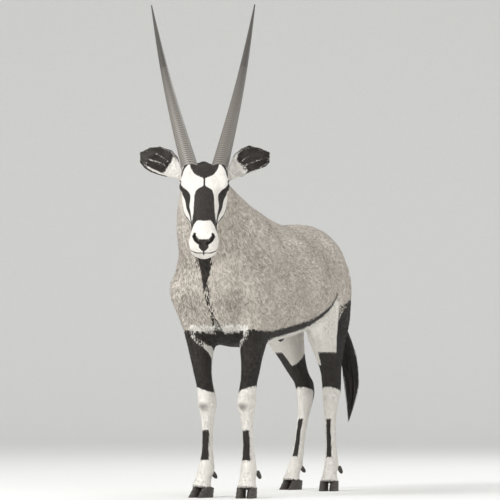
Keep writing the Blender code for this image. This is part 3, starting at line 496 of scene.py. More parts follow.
    # Where the forms run into one another: sideways, back, up, reach
    side_joins = [(0.17, -0.43, 0.86, 0.34), (0.15, 0.4, 0.88, 0.38), (0.08, 0.42, 0.66, 0.2),
                  (0.09, -0.42, 0.62, 0.13)]
    middle_joins = [(0.0, -0.5, 1.02, 0.4), (0.04, -0.74, 1.2, 0.16), (0.0, 0.6, 1.03, 0.12)]
    hind_step = 0.1
    step_top = 0.86
    step_full = 0.44

    @property
    def forward(self) -> Array:
        """The level way that the head looks."""
        return np.array((math.sin(self.head_turn), -math.cos(self.head_turn), 0.0))

    @property
    def head_axes(self) -> Array:
        """Sideways, along the face and out of the face, in rows."""
        left = np.array((math.cos(self.head_turn), math.sin(self.head_turn), 0.0))
        along = self.forward * math.sin(self.face_slope) - UP * math.cos(self.face_slope)
        out = self.forward * math.cos(self.face_slope) + UP * math.sin(self.face_slope)
        return np.array((left, along, out))

    def from_head(self, local: Array) -> Array:
        """Turn places in the head's axes into the animal's."""
        return self.head_place + np.asarray(local, float) @ self.head_axes

    def to_head(self, places: Array) -> Array:
        """Turn places in the animal's axes into the head's."""
        return (places - self.head_place) @ self.head_axes.T

    def ear_axes(self, side: Side) -> tuple[Array, Array, Array, Array]:
        """Place one ear.

        Args:
            side: which ear.

        Returns:
            Its root, the way it points, the way its width runs and the way its cup faces.
        """
        x, y, z = self.ear_foot
        foot = self.from_head((side.value * x, y, z))
        left = self.head_axes[0] * side.value
        axis = unit(left * math.cos(self.ear_rise) + UP * math.sin(self.ear_rise) - self.forward * 0.1)
        out = unit(self.forward - axis * (self.forward @ axis) + left * 0.15)
        across = unit(np.cross(axis, out)) * side.value
        out = unit(np.cross(axis, across))
        return foot, axis, across, out * np.sign(out @ self.forward)

    def ear_lift(self, t: Array) -> Array:
        """Tell how far the middle of an ear's cup lies off its axis.

        Args:
            t: shares of the cup's length.

        Returns:
            Metres across: a square of the share less half a wave of a sine.
        """
        return 0.02 * t * t - 0.012 * np.sin(np.pi * t)

    def ear_place(self, places: Array, side: Side) -> Array:
        """Read places against one ear.

        Args:
            places: points in rows.
            side: which ear.

        Returns:
            Share of the cup's length, share of its half width, metres out of the cup's rim.
        """
        foot, axis, across, out = self.ear_axes(side)
        local = (places - foot) @ np.array((axis, across, out)).T
        share = (local[:, 0] - self.ear_stalk) / self.ear_length
        local[:, 1] -= self.ear_lift(np.clip(share, 0, 1))
        rows = np.array(self.ear)
        half = np.interp(share, rows[:, 0], rows[:, 1])
        return np.stack((share, local[:, 1] / half, local[:, 2]), axis=1)

    def step_back(self, z: Array) -> Array:
        """Tell how far the right hind leg is set back at each height.

        Args:
            z: heights.

        Returns:
            A smooth ramp from 0 in the thigh to the full step at the hock.
        """
        return self.hind_step * ramp(-z, -self.step_top, -self.step_full)

    def leg_place(self, places: Array, limb: Limb) -> tuple[Array, Array]:
        """Read places against the leg on their side.

        Args:
            places: points in rows.
            limb: front or hind.

        Returns:
            Outwards and forwards of the leg's middle line, as shares of its half width and half depth.
        """
        rows = np.array(self.foreleg if limb is Limb.FRONT else self.hindleg)[::-1]
        z = places[:, 2]
        front, back, inner, outer = (np.interp(z, rows[:, 0], rows[:, column]) for column in (1, 2, 3, 4))
        y = places[:, 1]
        if limb is Limb.HIND:
            y = y - np.where(places[:, 0] < 0, self.step_back(z), 0.0)
        out = (np.abs(places[:, 0]) - (inner + outer) / 2) / ((outer - inner) / 2)
        return out, -(y - (front + back) / 2) / ((back - front) / 2)

    def neck_middle(self, places: Array) -> Array:
        """Tell where the middle line of the neck is, sideways.

        Args:
            places: points in rows.

        Returns:
            The sideways place at each point's height and depth along the neck.
        """
        rows = np.array(self.neck)
        middle = (rows[:, :2] + rows[:, 2:4]) / 2
        _, place = line_distance(places[:, 1:], middle)
        return np.interp(place, np.arange(len(rows)), rows[:, 4])


@dataclass
class Drawn:
    """Whatever is drawn from the animal's own sizes.

    Args:
        plan: the animal's sizes.
    """

    plan: BodyPlan


@dataclass
class Flesh(Drawn):
    """The forms that the skin is drawn over."""

    def trunk(self) -> Surface:
        """Draw the barrel.

        Returns:
            Upright outlines carried along the back.
        """
        y, top, bottom, half, widest, above, below = smooth_rows(self.plan.trunk, 120).T
        centre = np.stack((y * 0, y, widest), axis=1)
        return Surface.tube(outlines(centre, TO_LEFT, UP, half, top - widest, widest - bottom, above, below, 96))

    def neck(self) -> Surface:
        """Draw the neck.

        Returns:
            Outlines from crest to throat that turn with the head.
        """
        rows = smooth_rows(self.plan.neck, 60)
        crest, throat = rows[:, [4, 0, 1]], rows[:, [4, 2, 3]]
        turn = self.plan.head_turn * np.linspace(0, 1, len(rows))
        centre = crest * 0.48 + throat * 0.52
        side = np.stack((np.cos(turn), np.sin(turn), turn * 0), axis=1)
        above, below = np.linalg.norm(crest - centre, axis=1), np.linalg.norm(throat - centre, axis=1)
        return Surface.tube(outlines(centre, side, unit(crest - throat), rows[:, 5], above, below, 1.8, 2.0, 72))

    def head(self) -> Surface:
        """Draw skull, cheeks and muzzle.

        Returns:
            Outlines across the face carried along it.
        """
        along, top, bottom, half, widest, above, below = smooth_rows(self.plan.head, 120).T
        centre = np.stack((along * 0, along, widest), axis=1)
        grid = outlines(centre, TO_LEFT, UP, half, top - widest, widest - bottom, above, below, 72)
        return Surface.tube(self.plan.from_head(grid))

    def pedicle(self, side: Side) -> Surface:
        """Draw the bony foot of a horn.

        Args:
            side: which horn.

        Returns:
            Round outlines about the horn's axis.
        """
        rows = np.array([(0.08, 0.02), (0.05, 0.034), (0.02, 0.037), (-0.006, 0.035), (-0.018, 0.034)])
        x, _, z = self.plan.horn_foot
        centre = np.stack((rows[:, 0] * 0 + side.value * x, rows[:, 0], rows[:, 0] * 0 + z), axis=1)
        radius = rows[:, 1]
        grid = outlines(centre, TO_LEFT, UP, radius, radius, radius, 2.0, 2.0, 36)
        return Surface.tube(self.plan.from_head(grid))

    def stump(self, side: Side) -> Surface:
        """Draw the root of an ear.

        Args:
            side: which ear.

        Returns:
            Round outlines about the ear's axis.
        """
        foot, axis, across, out = self.plan.ear_axes(side)
        rows = np.array([(-0.05, 0.02), (-0.015, 0.026), (0.012, 0.0225), (self.plan.ear_stalk + 0.01, 0.02)])
        return round_tube(foot + axis * rows[:, :1], across, out, rows[:, 1], 36)

    def leg(self, limb: Limb, side: Side) -> Surface:
        """Draw one leg.

        Args:
            limb: front or hind.
            side: left or right.

        Returns:
            Level outlines carried down the leg.
        """
        rows = self.plan.foreleg if limb is Limb.FRONT else self.plan.hindleg
        z, front, back, inner, outer = smooth_rows(rows, 160).T
        late = self.plan.step_back(z) if limb is Limb.HIND and side is Side.RIGHT else z * 0
        centre = np.stack((side.value * (inner + outer) / 2, (front + back) / 2 + late, z), axis=1)
        depth = (back - front) / 2
        return Surface.tube(outlines(centre, TO_LEFT, TO_BACK, (outer - inner) / 2, depth, depth, 2.1, 2.1, 56))

    def cord(self, rows: list, count: int) -> Surface:
        """Draw a round form along a curve, such as the tail's bony part.

        Args:
            rows: sideways, back, up, radius.
            count: outlines.

        Returns:
            Round outlines carried along the curve.
        """
        rows = smooth_rows(rows, count)
        ahead = np.gradient(rows[:, :3], axis=0)
        side = unit(np.cross(ahead, np.array((0, 1, 0.3))))
        return round_tube(rows[:, :3], side, unit(np.cross(side, ahead)), rows[:, 3], 32)

    def all(self) -> Surface:
        """Put all the forms in one.

        Returns:
            Closed bodies that pass through one another.
        """
        forms = [self.trunk(), self.neck(), self.head(), self.cord(self.plan.dock, 40), self.cord(self.plan.sheath, 16)]
        forms += [self.pedicle(side) for side in Side] + [self.stump(side) for side in Side]
        forms += [self.leg(limb, side) for limb in Limb for side in Side]
        return Surface.joined(forms)


@dataclass
class Face(Drawn):
    """Lids, nostrils, lips and folds, pressed into the skin of the head.

    Args:
        slit_half: half the length of the eye's slit.
        slit_upper: its rise above the line between its corners.
        slit_lower: its fall below.
        lid: how thick the lid is over the ball.
        nostril: places of a nostril's middle line, sideways and along the face, with half its width.
        nostril_depth: how deep it goes.
        lips: the mouth line, along the face and out of the face.
        lip_depth: how deep it is.
    """

    slit_half: float = 0.0165
    slit_upper: float = 0.0098
    slit_lower: float = 0.0072
    lid: float = 0.0026
    nostril: tuple = ((0.0345, 0.322, 0.0022), (0.037, 0.333, 0.0042), (0.03, 0.345, 0.0054),
                      (0.019, 0.355, 0.0044), (0.011, 0.361, 0.002))
    nostril_depth: float = 0.012
    lips: tuple = ((0.248, -0.082), (0.265, -0.079), (0.3, -0.07), (0.34, -0.06), (0.395, -0.056))
    lip_depth: float = 0.0034

    def slit(self, u: Array, v: Array) -> tuple[Array, Array, Array]:
        """Measure the way to the edge of the eye's slit, which lies between two arcs.

        Args:
            u: along the slit from its middle.
            v: across it, upwards.

        Returns:
            The distance, less than 0 inside, and the way out of the slit in u and v.
        """
        found = []
        for rise, sign in ((self.slit_upper, 1.0), (self.slit_lower, -1.0)):
            drop = (self.slit_half**2 - rise**2) / (2 * rise)
            du, dv = u, v + sign * drop
            reach = np.hypot(du, dv)
            found.append((reach - (drop + rise), du / reach, dv / reach))
        upper = found[0][0] > found[1][0]
        return tuple(np.where(upper, a, b) for a, b in zip(*found))

    def eyes(self, local: Array) -> Array:
        """Form lids about each eye.

        Args:
            local: places in the head's axes.

        Returns:
            The places with lids over the ball and an open slit.
        """
        made = local.copy()
        x, y, z = self.plan.eye_place
        ball = self.plan.eye_radius
        cos, sin = math.cos(self.plan.eye_tilt), math.sin(self.plan.eye_tilt)
        for side in Side:
            out = made[:, 0] * side.value - x
            along, up = made[:, 1] - y, made[:, 2] - z
            u, v = along * cos + up * sin, up * cos - along * sin
            reach = np.hypot(u, v)
            touched = (reach < 0.04) & (out > -0.012)
            distance, du, dv = self.slit(u, v)
            snap = np.where(np.abs(distance) < 0.0007, distance, 0.0)
            u, v = u - du * snap, v - dv * snap
            distance = np.where(snap != 0, 0.0, distance)
            reach = np.hypot(u, v)
            lid = np.sqrt(np.clip((ball + self.lid) ** 2 - reach**2, 1e-8, None))
            rim = np.sqrt(np.clip((ball + 0.0011) ** 2 - reach**2, 1e-8, None))
            sunk = np.sqrt(np.clip((ball - 0.0035) ** 2 - reach**2, 1e-8, None))
            keep = ramp(reach, 0.0145, 0.027)
            shaped = lid * (1 - keep) + out * keep
            edge = np.exp(-np.clip(distance, 0, None) / 0.0012)
            shaped = shaped * (1 - edge) + rim * edge
            fold = np.where(v > 0, np.exp(-((distance - 0.0052) / 0.0012) ** 2), 0.0)
            under = np.where(v < 0, np.exp(-((distance - 0.006) / 0.0016) ** 2), 0.0)
            brow = np.where(v > 0, np.exp(-((distance - 0.011) / 0.0042) ** 2), 0.0)
            shaped = shaped - 0.0011 * fold - 0.0006 * under + 0.0014 * brow * (reach < 0.034)
            shaped = np.where(distance < -0.0002, sunk, shaped)
            back_along, back_up = u * cos - v * sin, v * cos + u * sin
            moved = np.stack((side.value * (shaped + x), back_along + y, back_up + z), axis=1)
            made = np.where(touched[:, None], moved, made)
        return made

    def nose(self, local: Array, normals: Array) -> Array:
        """Press in the nostrils and the groove between them.

        Args:
            local: places in the head's axes.
            normals: directions in the head's axes.

        Returns:
            How far each place moves, in the head's axes.
        """
        rows = np.array(self.nostril)
        folded = np.stack((np.abs(local[:, 0]), local[:, 1]), axis=1)
        distance, place = line_distance(folded, rows[:, :2])
        half = np.interp(place, np.arange(len(rows)), rows[:, 2])
        upper = (local[:, 2] > -0.066) & (normals[:, 2] > -0.2)
        pit = np.sqrt(np.clip(1 - (distance / half) ** 2, 0, 1)) * upper
        way = np.stack((0.25 * np.sign(local[:, 0]), np.full(len(local), 0.45), np.full(len(local), 0.86)), axis=1)
        rim = np.exp(-((distance - half - 0.0022) / 0.0022) ** 2) * upper
        groove = np.exp(-(local[:, 0] / 0.0013) ** 2) * ramp(local[:, 1], 0.35, 0.362) * (local[:, 2] > -0.056)
        moved = -unit(way) * (self.nostril_depth * pit)[:, None]
        return moved + normals * (0.0013 * rim - 0.002 * groove)[:, None]

    def mouth(self, local: Array, normals: Array) -> Array:
        """Press in the line of the mouth and round the lips.

        Args:
            local: places in the head's axes.
            normals: directions in the head's axes.

        Returns:
            How far each place moves, in the head's axes.
        """
        rows = np.array(self.lips)
        line = np.interp(local[:, 1], rows[:, 0], rows[:, 1])
        apart = local[:, 2] - line
        there = ramp(local[:, 1], rows[0, 0], rows[0, 0] + 0.016)
        groove = np.exp(-(apart / 0.0013) ** 2)
        lips = np.exp(-((apart - 0.0052) / 0.0036) ** 2) + 0.8 * np.exp(-((apart + 0.005) / 0.0034) ** 2)
        return normals * ((0.0011 * lips - self.lip_depth * groove) * there)[:, None]

    def press(self, places: Array, normals: Array) -> Array:
        """Form the face.

        Args:
            places: points in the animal's axes.
            normals: the directions they face.

        Returns:
            The new places.
        """
        local = self.plan.to_head(places)
        turned = normals @ self.plan.head_axes.T
        local = local + self.nose(local, turned) + self.mouth(local, turned)
        return self.plan.from_head(self.eyes(local))

    def fine(self, local: Array) -> Array:
        """Tell where the skin needs the smallest faces.

        Args:
            local: places in the head's axes.

        Returns:
            True near the eyes, nostrils and lips.
        """
        folded = np.abs(local) * (1, 0, 0) + local * (0, 1, 1)
        eyes = np.linalg.norm(folded - np.array(self.plan.eye_place) - (0.018, 0, 0), axis=1) < 0.031
        nose = np.linalg.norm(folded - np.array((0.02, 0.346, -0.035)), axis=1) < 0.031
        rows = np.array(self.lips)
        line = np.interp(local[:, 1], rows[:, 0], rows[:, 1])
        mouth = (np.abs(local[:, 2] - line) < 0.009) & (local[:, 1] > 0.24)
        return eyes | nose | mouth


@dataclass
class Marks(Drawn):
    """Where the coat is black or white, as smooth distances in metres, and where it is painted grey: painted shade in
    folds and hollows, and patches on the knees.

    Args:
        brow: along the face, half width of the dark patch.
        muzzle: sideways, the patch's lower edge along the face.
        eye_stripe: the stripe through the eye, along the face and out of the face.
        eye_halves: half its width.
        link: from the patch's corner to the stripe's end.
        jaw_stripe: the stripe along the jaw.
        flank: the band along the flank, back and up.
        shoulder: the fold behind the shoulder, along which shade is painted, back and up.
    """

    brow: tuple = ((-0.1, 0.06), (-0.012, 0.056), (0.005, 0.054), (0.024, 0.046), (0.04, 0.037), (0.049, 0.028),
                   (0.058, 0.012), (0.064, 0.0035), (0.098, 0.0035), (0.105, 0.01), (0.11, 0.022), (0.12, 0.032),
                   (0.14, 0.038), (0.167, 0.039), (0.215, 0.0415), (0.25, 0.047), (0.29, 0.05))
    muzzle: tuple = ((0.0, 0.268), (0.027, 0.262), (0.04, 0.275), (0.047, 0.29))
    eye_stripe: tuple = ((-0.015, -0.032), (0.03, -0.034), (0.07, -0.036), (0.125, -0.036), (0.18, -0.046),
                         (0.23, -0.046), (0.262, -0.044), (0.288, -0.046))
    eye_halves: tuple = (0.009, 0.011, 0.014, 0.015, 0.012, 0.01, 0.009, 0.006)
    link: tuple = ((0.262, -0.018), (0.29, -0.046))
    jaw_stripe: tuple = ((-0.02, -0.1), (0.02, -0.11), (0.09, -0.092), (0.125, -0.096), (0.158, -0.104),
                         (0.193, -0.098), (0.227, -0.088), (0.262, -0.078), (0.288, -0.07))
    flank: tuple = ((-0.42, 0.63), (-0.28, 0.655), (0.0, 0.7), (0.2, 0.775), (0.27, 0.82))
    shoulder: tuple = ((-0.33, 1.13), (-0.285, 0.96), (-0.262, 0.83), (-0.27, 0.74), (-0.3, 0.668))

    def face(self, local: Array) -> tuple[Array, Array]:
        """Mark the head.

        Args:
            local: places in the head's axes.

        Returns:
            Distances inside the black and inside the white.
        """
        r, s, n = np.abs(local[:, 0]), local[:, 1], local[:, 2]
        rows, low = np.array(self.brow), np.array(self.muzzle)
        patch = np.minimum.reduce((np.interp(s, rows[:, 0], rows[:, 1]) - r,
                                   np.interp(r, low[:, 0], low[:, 1]) - s, n + 0.06))
        pair = np.stack((s, n), axis=1)
        distance, place = line_distance(pair, np.array(self.eye_stripe))
        stripe = np.minimum(np.interp(place, np.arange(8), self.eye_halves) - distance, r - 0.018)
        link = np.minimum(0.005 - line_distance(pair, np.array(self.link))[0], r - 0.035)
        distance, place = line_distance(pair, np.array(self.jaw_stripe))
        jaw = np.minimum(np.interp(place, (0, 4, 8), (0.006, 0.0055, 0.004)) - distance, r - 0.012)
        under = np.minimum.reduce((0.014 - r, -0.105 - n, 0.25 - s))
        y, z = self.plan.eye_place[1:]
        socket = np.minimum(0.016 - np.hypot(s - y, n - z), r - 0.062)
        temple = np.minimum(0.006 - line_distance(pair, np.array(((y, z), (-0.015, -0.006))))[0], r - 0.066)
        black = np.maximum.reduce((patch, stripe, link, jaw, under, socket, temple, self.nose(local)))
        cheek = np.interp(s, np.array(self.jaw_stripe)[:, 0], np.array(self.jaw_stripe)[:, 1])
        white = np.minimum(s + 0.01, np.where(s > 0.2, n + 0.3, n - cheek))
        return black, white

    def nose(self, local: Array) -> Array:
        """Mark the dark skin of the nostrils, the nose pad and the lips.

        Args:
            local: places in the head's axes.

        Returns:
            Distances inside the dark skin.
        """
        r, s, n = np.abs(local[:, 0]), local[:, 1], local[:, 2]
        face = Face(self.plan)
        rows = np.array(face.nostril)
        distance, place = line_distance(np.stack((r, s), axis=1), rows[:, :2])
        half = np.interp(place, np.arange(len(rows)), rows[:, 2])
        pit = np.minimum(half + 0.003 - distance, n + 0.06)
        pad = np.minimum.reduce((s - 0.345, 0.019 * np.clip((n + 0.05) / 0.015, 0, 1) - r, n + 0.046))
        groove = np.minimum.reduce((0.0025 - r, s - 0.345, n + 0.07))
        lips = np.array(face.lips)
        line = np.minimum(0.0024 - np.abs(n - np.interp(s, lips[:, 0], lips[:, 1])), s - 0.256)
        y, z = self.plan.eye_place[1:]
        cos, sin = math.cos(self.plan.eye_tilt), math.sin(self.plan.eye_tilt)
        u, v = (s - y) * cos + (n - z) * sin, (n - z) * cos - (s - y) * sin
        lids = np.minimum(0.0042 - face.slit(u, v)[0], r - 0.055)
        return np.maximum.reduce((pit, pad, groove, line, lids))

    def ears(self, places: Array, normals: Array) -> tuple[Array, Array, Array]:
        """Mark the ears.

        Args:
            places: points in rows.
            normals: the directions they face.

        Returns:
            Distances inside the black and inside the white, and how sure it is that the place is on an ear.
        """
        black = np.full(len(places), -1.0)
        white = np.full(len(places), -1.0)
        sure = np.zeros(len(places))
        for side in Side:
            share, across, out = self.plan.ear_place(places, side).T
            there = (share > -0.02) & (share < 1.06) & (np.abs(across) < 1.25) & (np.abs(out) < 0.05)
            inside = normals @ self.plan.ear_axes(side)[3] > 0.05
            half = np.interp(share, np.array(self.plan.ear)[:, 0], np.array(self.plan.ear)[:, 1])
            rim = np.minimum((np.abs(across) - 0.93 + 0.1 * np.clip(share - 0.5, 0, 1)) * half, (share - 0.22) * 0.1)
            tip = (share - 0.93) * self.plan.ear_length
            bars = np.minimum((0.25 - np.abs(share - 0.6)) * 0.15, (0.78 - np.abs(across)) * half)
            gap = np.abs(np.abs(across) - 0.42 * share) * half - 0.0022
            bars = np.minimum(bars, np.where(share > 0.42, gap, 0.01))
            dark = np.maximum(np.maximum(rim, tip), np.where(inside, bars, -1.0))
            black = np.where(there, dark, black)
            white = np.where(there, np.where(inside, 0.02, -0.004), white)
            sure = np.where(there, 1.0, sure)
        return black, white, sure

    def legs(self, places: Array) -> tuple[Array, Array]:
        """Mark the legs.

        Args:
            places: points in rows.

        Returns:
            Distances inside the black and inside the white.
        """
        z = places[:, 2]
        out, ahead = self.plan.leg_place(places, Limb.FRONT)
        fore = places[:, 1] < -0.27
        high = ramp(z, 0.535, 0.65)
        sides = (out + 0.65 * ahead * (1 - high) + 1.1 * (1 - high) - 0.1 * high) * 0.045
        band = np.minimum.reduce((z - 0.432 - 0.012 * out, 0.672 - 0.01 * np.abs(out) - z, sides))
        cannon = np.minimum.reduce((z - 0.15, 0.269 - z, 0.015 - np.abs(out) * 0.022, ahead * 0.03))
        front_black = np.where(fore, np.maximum(band, cannon), -1.0)
        white_fore = np.where(fore, np.minimum(0.685 - z, np.maximum(0.462 - z, -sides)), -1.0)
        out, ahead = self.plan.leg_place(places, Limb.HIND)
        hind = places[:, 1] > 0.12
        outer = ramp(out, -0.35, 0.25)
        top = (0.57 - 0.04 * ahead) * (1 - outer) + (0.8 - 0.045 * ahead) * outer
        front = np.maximum((0.28 - ahead) * 0.08, 0.59 - z)
        rear = np.maximum((ahead + 0.94) * 0.05, z - 0.72)
        band = np.minimum.reduce((z - 0.43 - 0.014 * ahead, top - z, front, rear))
        cannon = np.minimum.reduce((z - 0.142, 0.31 - z, 0.0115 - np.abs(out) * 0.02, ahead * 0.03)) - 0.0024
        back_black = np.where(hind, np.maximum(band, cannon), -1.0)
        pale = np.maximum.reduce((0.47 - z, np.minimum(0.775 - z, -front), np.minimum(0.7 - z, -rear),
                                  np.minimum(0.8 - z, (-0.05 - out) * 0.05)))
        white_hind = np.where(hind, pale, -1.0)
        return np.maximum(front_black, back_black), np.maximum(white_fore, white_hind)

    def trunk(self, places: Array, normals: Array) -> tuple[Array, Array]:
        """Mark the trunk and the neck.

        Args:
            places: points in rows.
            normals: the directions they face.

        Returns:
            Distances inside the black and inside the white.
        """
        x, y, z = places.T
        middle = self.plan.neck_middle(places)
        off = np.abs(x - middle)
        half = np.interp(z, (0.62, 0.72, 0.875, 0.925, 1.08, 1.16), (0.022, 0.0125, 0.0125, 0.034, 0.03, 0.06))
        throat = np.minimum.reduce((half - off, -normals[:, 1] * 0.05 + 0.006, -y - 0.4, z - 0.6))
        rows = np.array(self.plan.trunk)
        over = z - np.interp(y, rows[:, 0], rows[:, 2])
        distance, _ = line_distance(np.stack((y, z), axis=1), np.array(self.flank))
        band = np.minimum.reduce((0.0195 - distance, np.abs(x) - 0.06, 0.29 - y))
        chest = np.minimum.reduce((0.652 + 0.1 * np.abs(x) - z, -0.26 - y, y + 0.6, 0.105 - np.abs(x),
                                   over + 0.02))
        dorsal = np.minimum.reduce((0.014 + 0.008 * ramp(y, 0.45, 0.6) - np.abs(x), (normals[:, 2] - 0.35) * 0.05,
                                    y + 0.4, 0.68 - y))
        crest = np.minimum.reduce((0.024 - off, (normals[:, 2] + 0.05) * 0.06, -0.3 - y))
        tail = np.minimum(0.772 - z, y - 0.655)
        sheath = np.minimum.reduce((0.668 - z, 0.035 - np.abs(x), y - 0.1, 0.22 - y))
        black = np.maximum.reduce((throat, band, chest, dorsal, crest, tail, sheath))
        line = np.interp(y, np.array(self.flank)[:, 0], np.array(self.flank)[:, 1])
        belly = np.minimum.reduce((line - 0.012 - z, y + 0.4, 0.36 - y))
        dock = np.minimum.reduce((y - 0.64, 0.99 - z, z - 0.7))
        return black, np.maximum(belly, dock)

    def shade(self, places: Array) -> Array:
        """Tell where the coat is painted darker: painted shade along the fold behind the shoulder, at the ear roots and
        at the sides of the breast, and a grey patch on the front of each knee of the forelegs.

        Args:
            places: points in rows.

        Returns:
            From 0 to 1.
        """
        x, y, z = places.T
        pair = np.stack((y, z), axis=1)
        # Painted shade along the fold behind the shoulder.
        fold = np.exp(-(line_distance(pair, np.array(self.shoulder))[0] / 0.006) ** 2) * (np.abs(x) > 0.12)
        out, ahead = self.plan.leg_place(places, Limb.FRONT)
        knee = near(np.stack((out * 0.03, z - 0.362, 0 * z), axis=1), (0.0, 0.0, 0.0), 0.026) * (ahead > 0.55)
        knee = knee * (y < -0.3) * 0.9
        local = self.plan.to_head(places)
        # Painted shade at the root of each ear.
        root = near(np.abs(local) * (1, 0, 0) + local * (0, 1, 1), (0.09, 0.005, -0.085), 0.03)
        # Painted shade at the sides of the breast, by the forelegs.
        breast = 0.45 * near(np.abs(places) * (1, 0, 0) + places * (0, 1, 1), (0.09, -0.6, 0.76), 0.085)
        return np.clip(np.maximum.reduce((fold * 0.8, knee, root * 0.6, breast)), 0, 1)

    def read(self, places: Array, normals: Array) -> tuple[Array, Array]:
        """Mark the whole animal.

        Args:
            places: points in rows.
            normals: the directions they face.

        Returns:
            Distances inside the black and inside the white, in metres, less than 0 outside.
        """
        local = self.plan.to_head(places)
        on_head = (local[:, 1] > -0.075) & (local[:, 2] > -0.235) & (places[:, 1] < -0.72) & (places[:, 2] > 0.9)
        throat = (local[:, 1] < 0.05) & (local[:, 2] < -0.1)
        face_black, face_white = self.face(local)
        ear_black, ear_white, on_ear = self.ears(places, normals)
        trunk_black, trunk_white = self.trunk(places, normals)
        leg_black, leg_white = self.legs(places)
        black = np.where(on_head, np.maximum(face_black, np.where(throat, trunk_black, -1)),
                         np.maximum(trunk_black, leg_black))
        white = np.where(on_head, face_white, np.maximum(trunk_white, leg_white))
        black = np.where(on_ear > 0, ear_black, black)
        white = np.where(on_ear > 0, ear_white, white)
        return np.clip(black, -0.06, 0.06), np.clip(white, -0.06, 0.06)


@dataclass
class Lie(Drawn):
    """The way that the hair lies."""

    def shares(self, places: Array) -> tuple[Array, Array, Array]:
        """Tell how much each place belongs to the head, the ears and the legs.

        Args:
            places: points in rows.

        Returns:
            The three shares, each from 0 to 1.
        """
        local = self.plan.to_head(places)
        head = ramp(local[:, 1], -0.1, 0.0) * ramp(-places[:, 1], 0.66, 0.76) * ramp(local[:, 2], -0.26, -0.19)
        ears = np.zeros(len(places))
        for side in Side:
            share, across, out = self.plan.ear_place(places, side).T
            there = (np.abs(across) < 1.3) & (np.abs(out) < 0.05) & (share < 1.1)
            ears = np.maximum(ears, np.where(there, ramp(share, -0.12, 0.05), 0.0))
        top = np.where(places[:, 1] < 0, 0.72, 0.8)
        legs = ramp(top - places[:, 2], 0.0, 0.16) * ((places[:, 1] < -0.25) | (places[:, 1] > 0.12))
        return head, ears, legs

    def flow(self, places: Array, normals: Array) -> Array:
        """Give the way of the hair along the skin.

        Args:
            places: points in rows.
            normals: the directions they face.

        Returns:
            Directions in the skin, one long: back and down on the body, down on the legs, up the face and
            out along the ears.
        """
        head, ears, legs = (share[:, None] for share in self.shares(places))
        neck = ramp(-places[:, 1:2], 0.35, 0.65)
        body = np.array((0.0, 1.0, -0.42)) * (1 - neck) + np.array((-0.05, 0.55, -0.85)) * neck
        body = body + np.stack((places[:, 0] * 1.2, places[:, 1] * 0, places[:, 2] * 0), axis=1) * (1 - neck)
        way = body * (1 - legs) + np.array((0.0, 0.22, -1.0)) * legs
        along, out = self.plan.head_axes[1], self.plan.head_axes[2]
        way = way * (1 - head) + (-along - 0.25 * out) * head
        for side in Side:
            own = (self.plan.to_head(places)[:, 0:1] * side.value > 0) * ears
            way = way * (1 - own) + self.plan.ear_axes(side)[1] * own
        way = way - normals * np.sum(way * normals, axis=1, keepdims=True)
        return unit(way)

    def chart(self, places: Array) -> Array:
        """Unroll the skin's own shape on a square.

        Args:
            places: points in rows.

        Returns:
            Two values from 0 to 1: how far along head, body or leg, and how far round it.
        """
        head, ears, legs = self.shares(places)
        local = self.plan.to_head(places)
        x, y, z = places.T
        round_head = np.arctan2(local[:, 0], local[:, 2] + 0.09)
        made = np.stack((0.02 + 0.26 * ramp(local[:, 1], -0.12, 0.42), 0.52 + 0.46 * (round_head / FULL_TURN + 0.5)), 1)
        middle = self.plan.neck_middle(places) * ramp(-y, 0.2, 0.5)
        height = np.interp(y, (-0.8, -0.4, 0.6), (1.22, 0.92, 0.92))
        round_body = np.arctan2(x - middle, z - height)
        body = np.stack((0.32 + 0.66 * (y + 0.85) / 1.6, 0.52 + 0.46 * (round_body / FULL_TURN + 0.5)), 1)
        made = np.where(head[:, None] > 0.5, made, body)
        for number, (limb, side) in enumerate((limb, side) for limb in Limb for side in Side):
            out, ahead = self.plan.leg_place(places, limb)
            there = (legs > 0.5) & ((y < 0) == (limb is Limb.FRONT)) & ((x > 0) == (side is Side.LEFT))
            turn = np.arctan2(out, ahead) / FULL_TURN + 0.5
            leg = np.stack((0.02 + 0.7 * z / 0.85, 0.02 + 0.12 * number + 0.1 * turn), 1)
            made = np.where(there[:, None], leg, made)
        for number, side in enumerate(Side):
            share, across, out = self.plan.ear_place(places, side).T
            own = (ears > 0.5) & (local[:, 0] * side.value > 0)
            ear = np.stack((0.76 + 0.2 * np.clip(share, 0, 1),
                            0.06 + 0.22 * number + 0.06 * across + 0.05 * np.sign(out + 0.01)), 1)
            made = np.where(own[:, None], ear, made)
        return np.clip(made, 0.003, 0.997)


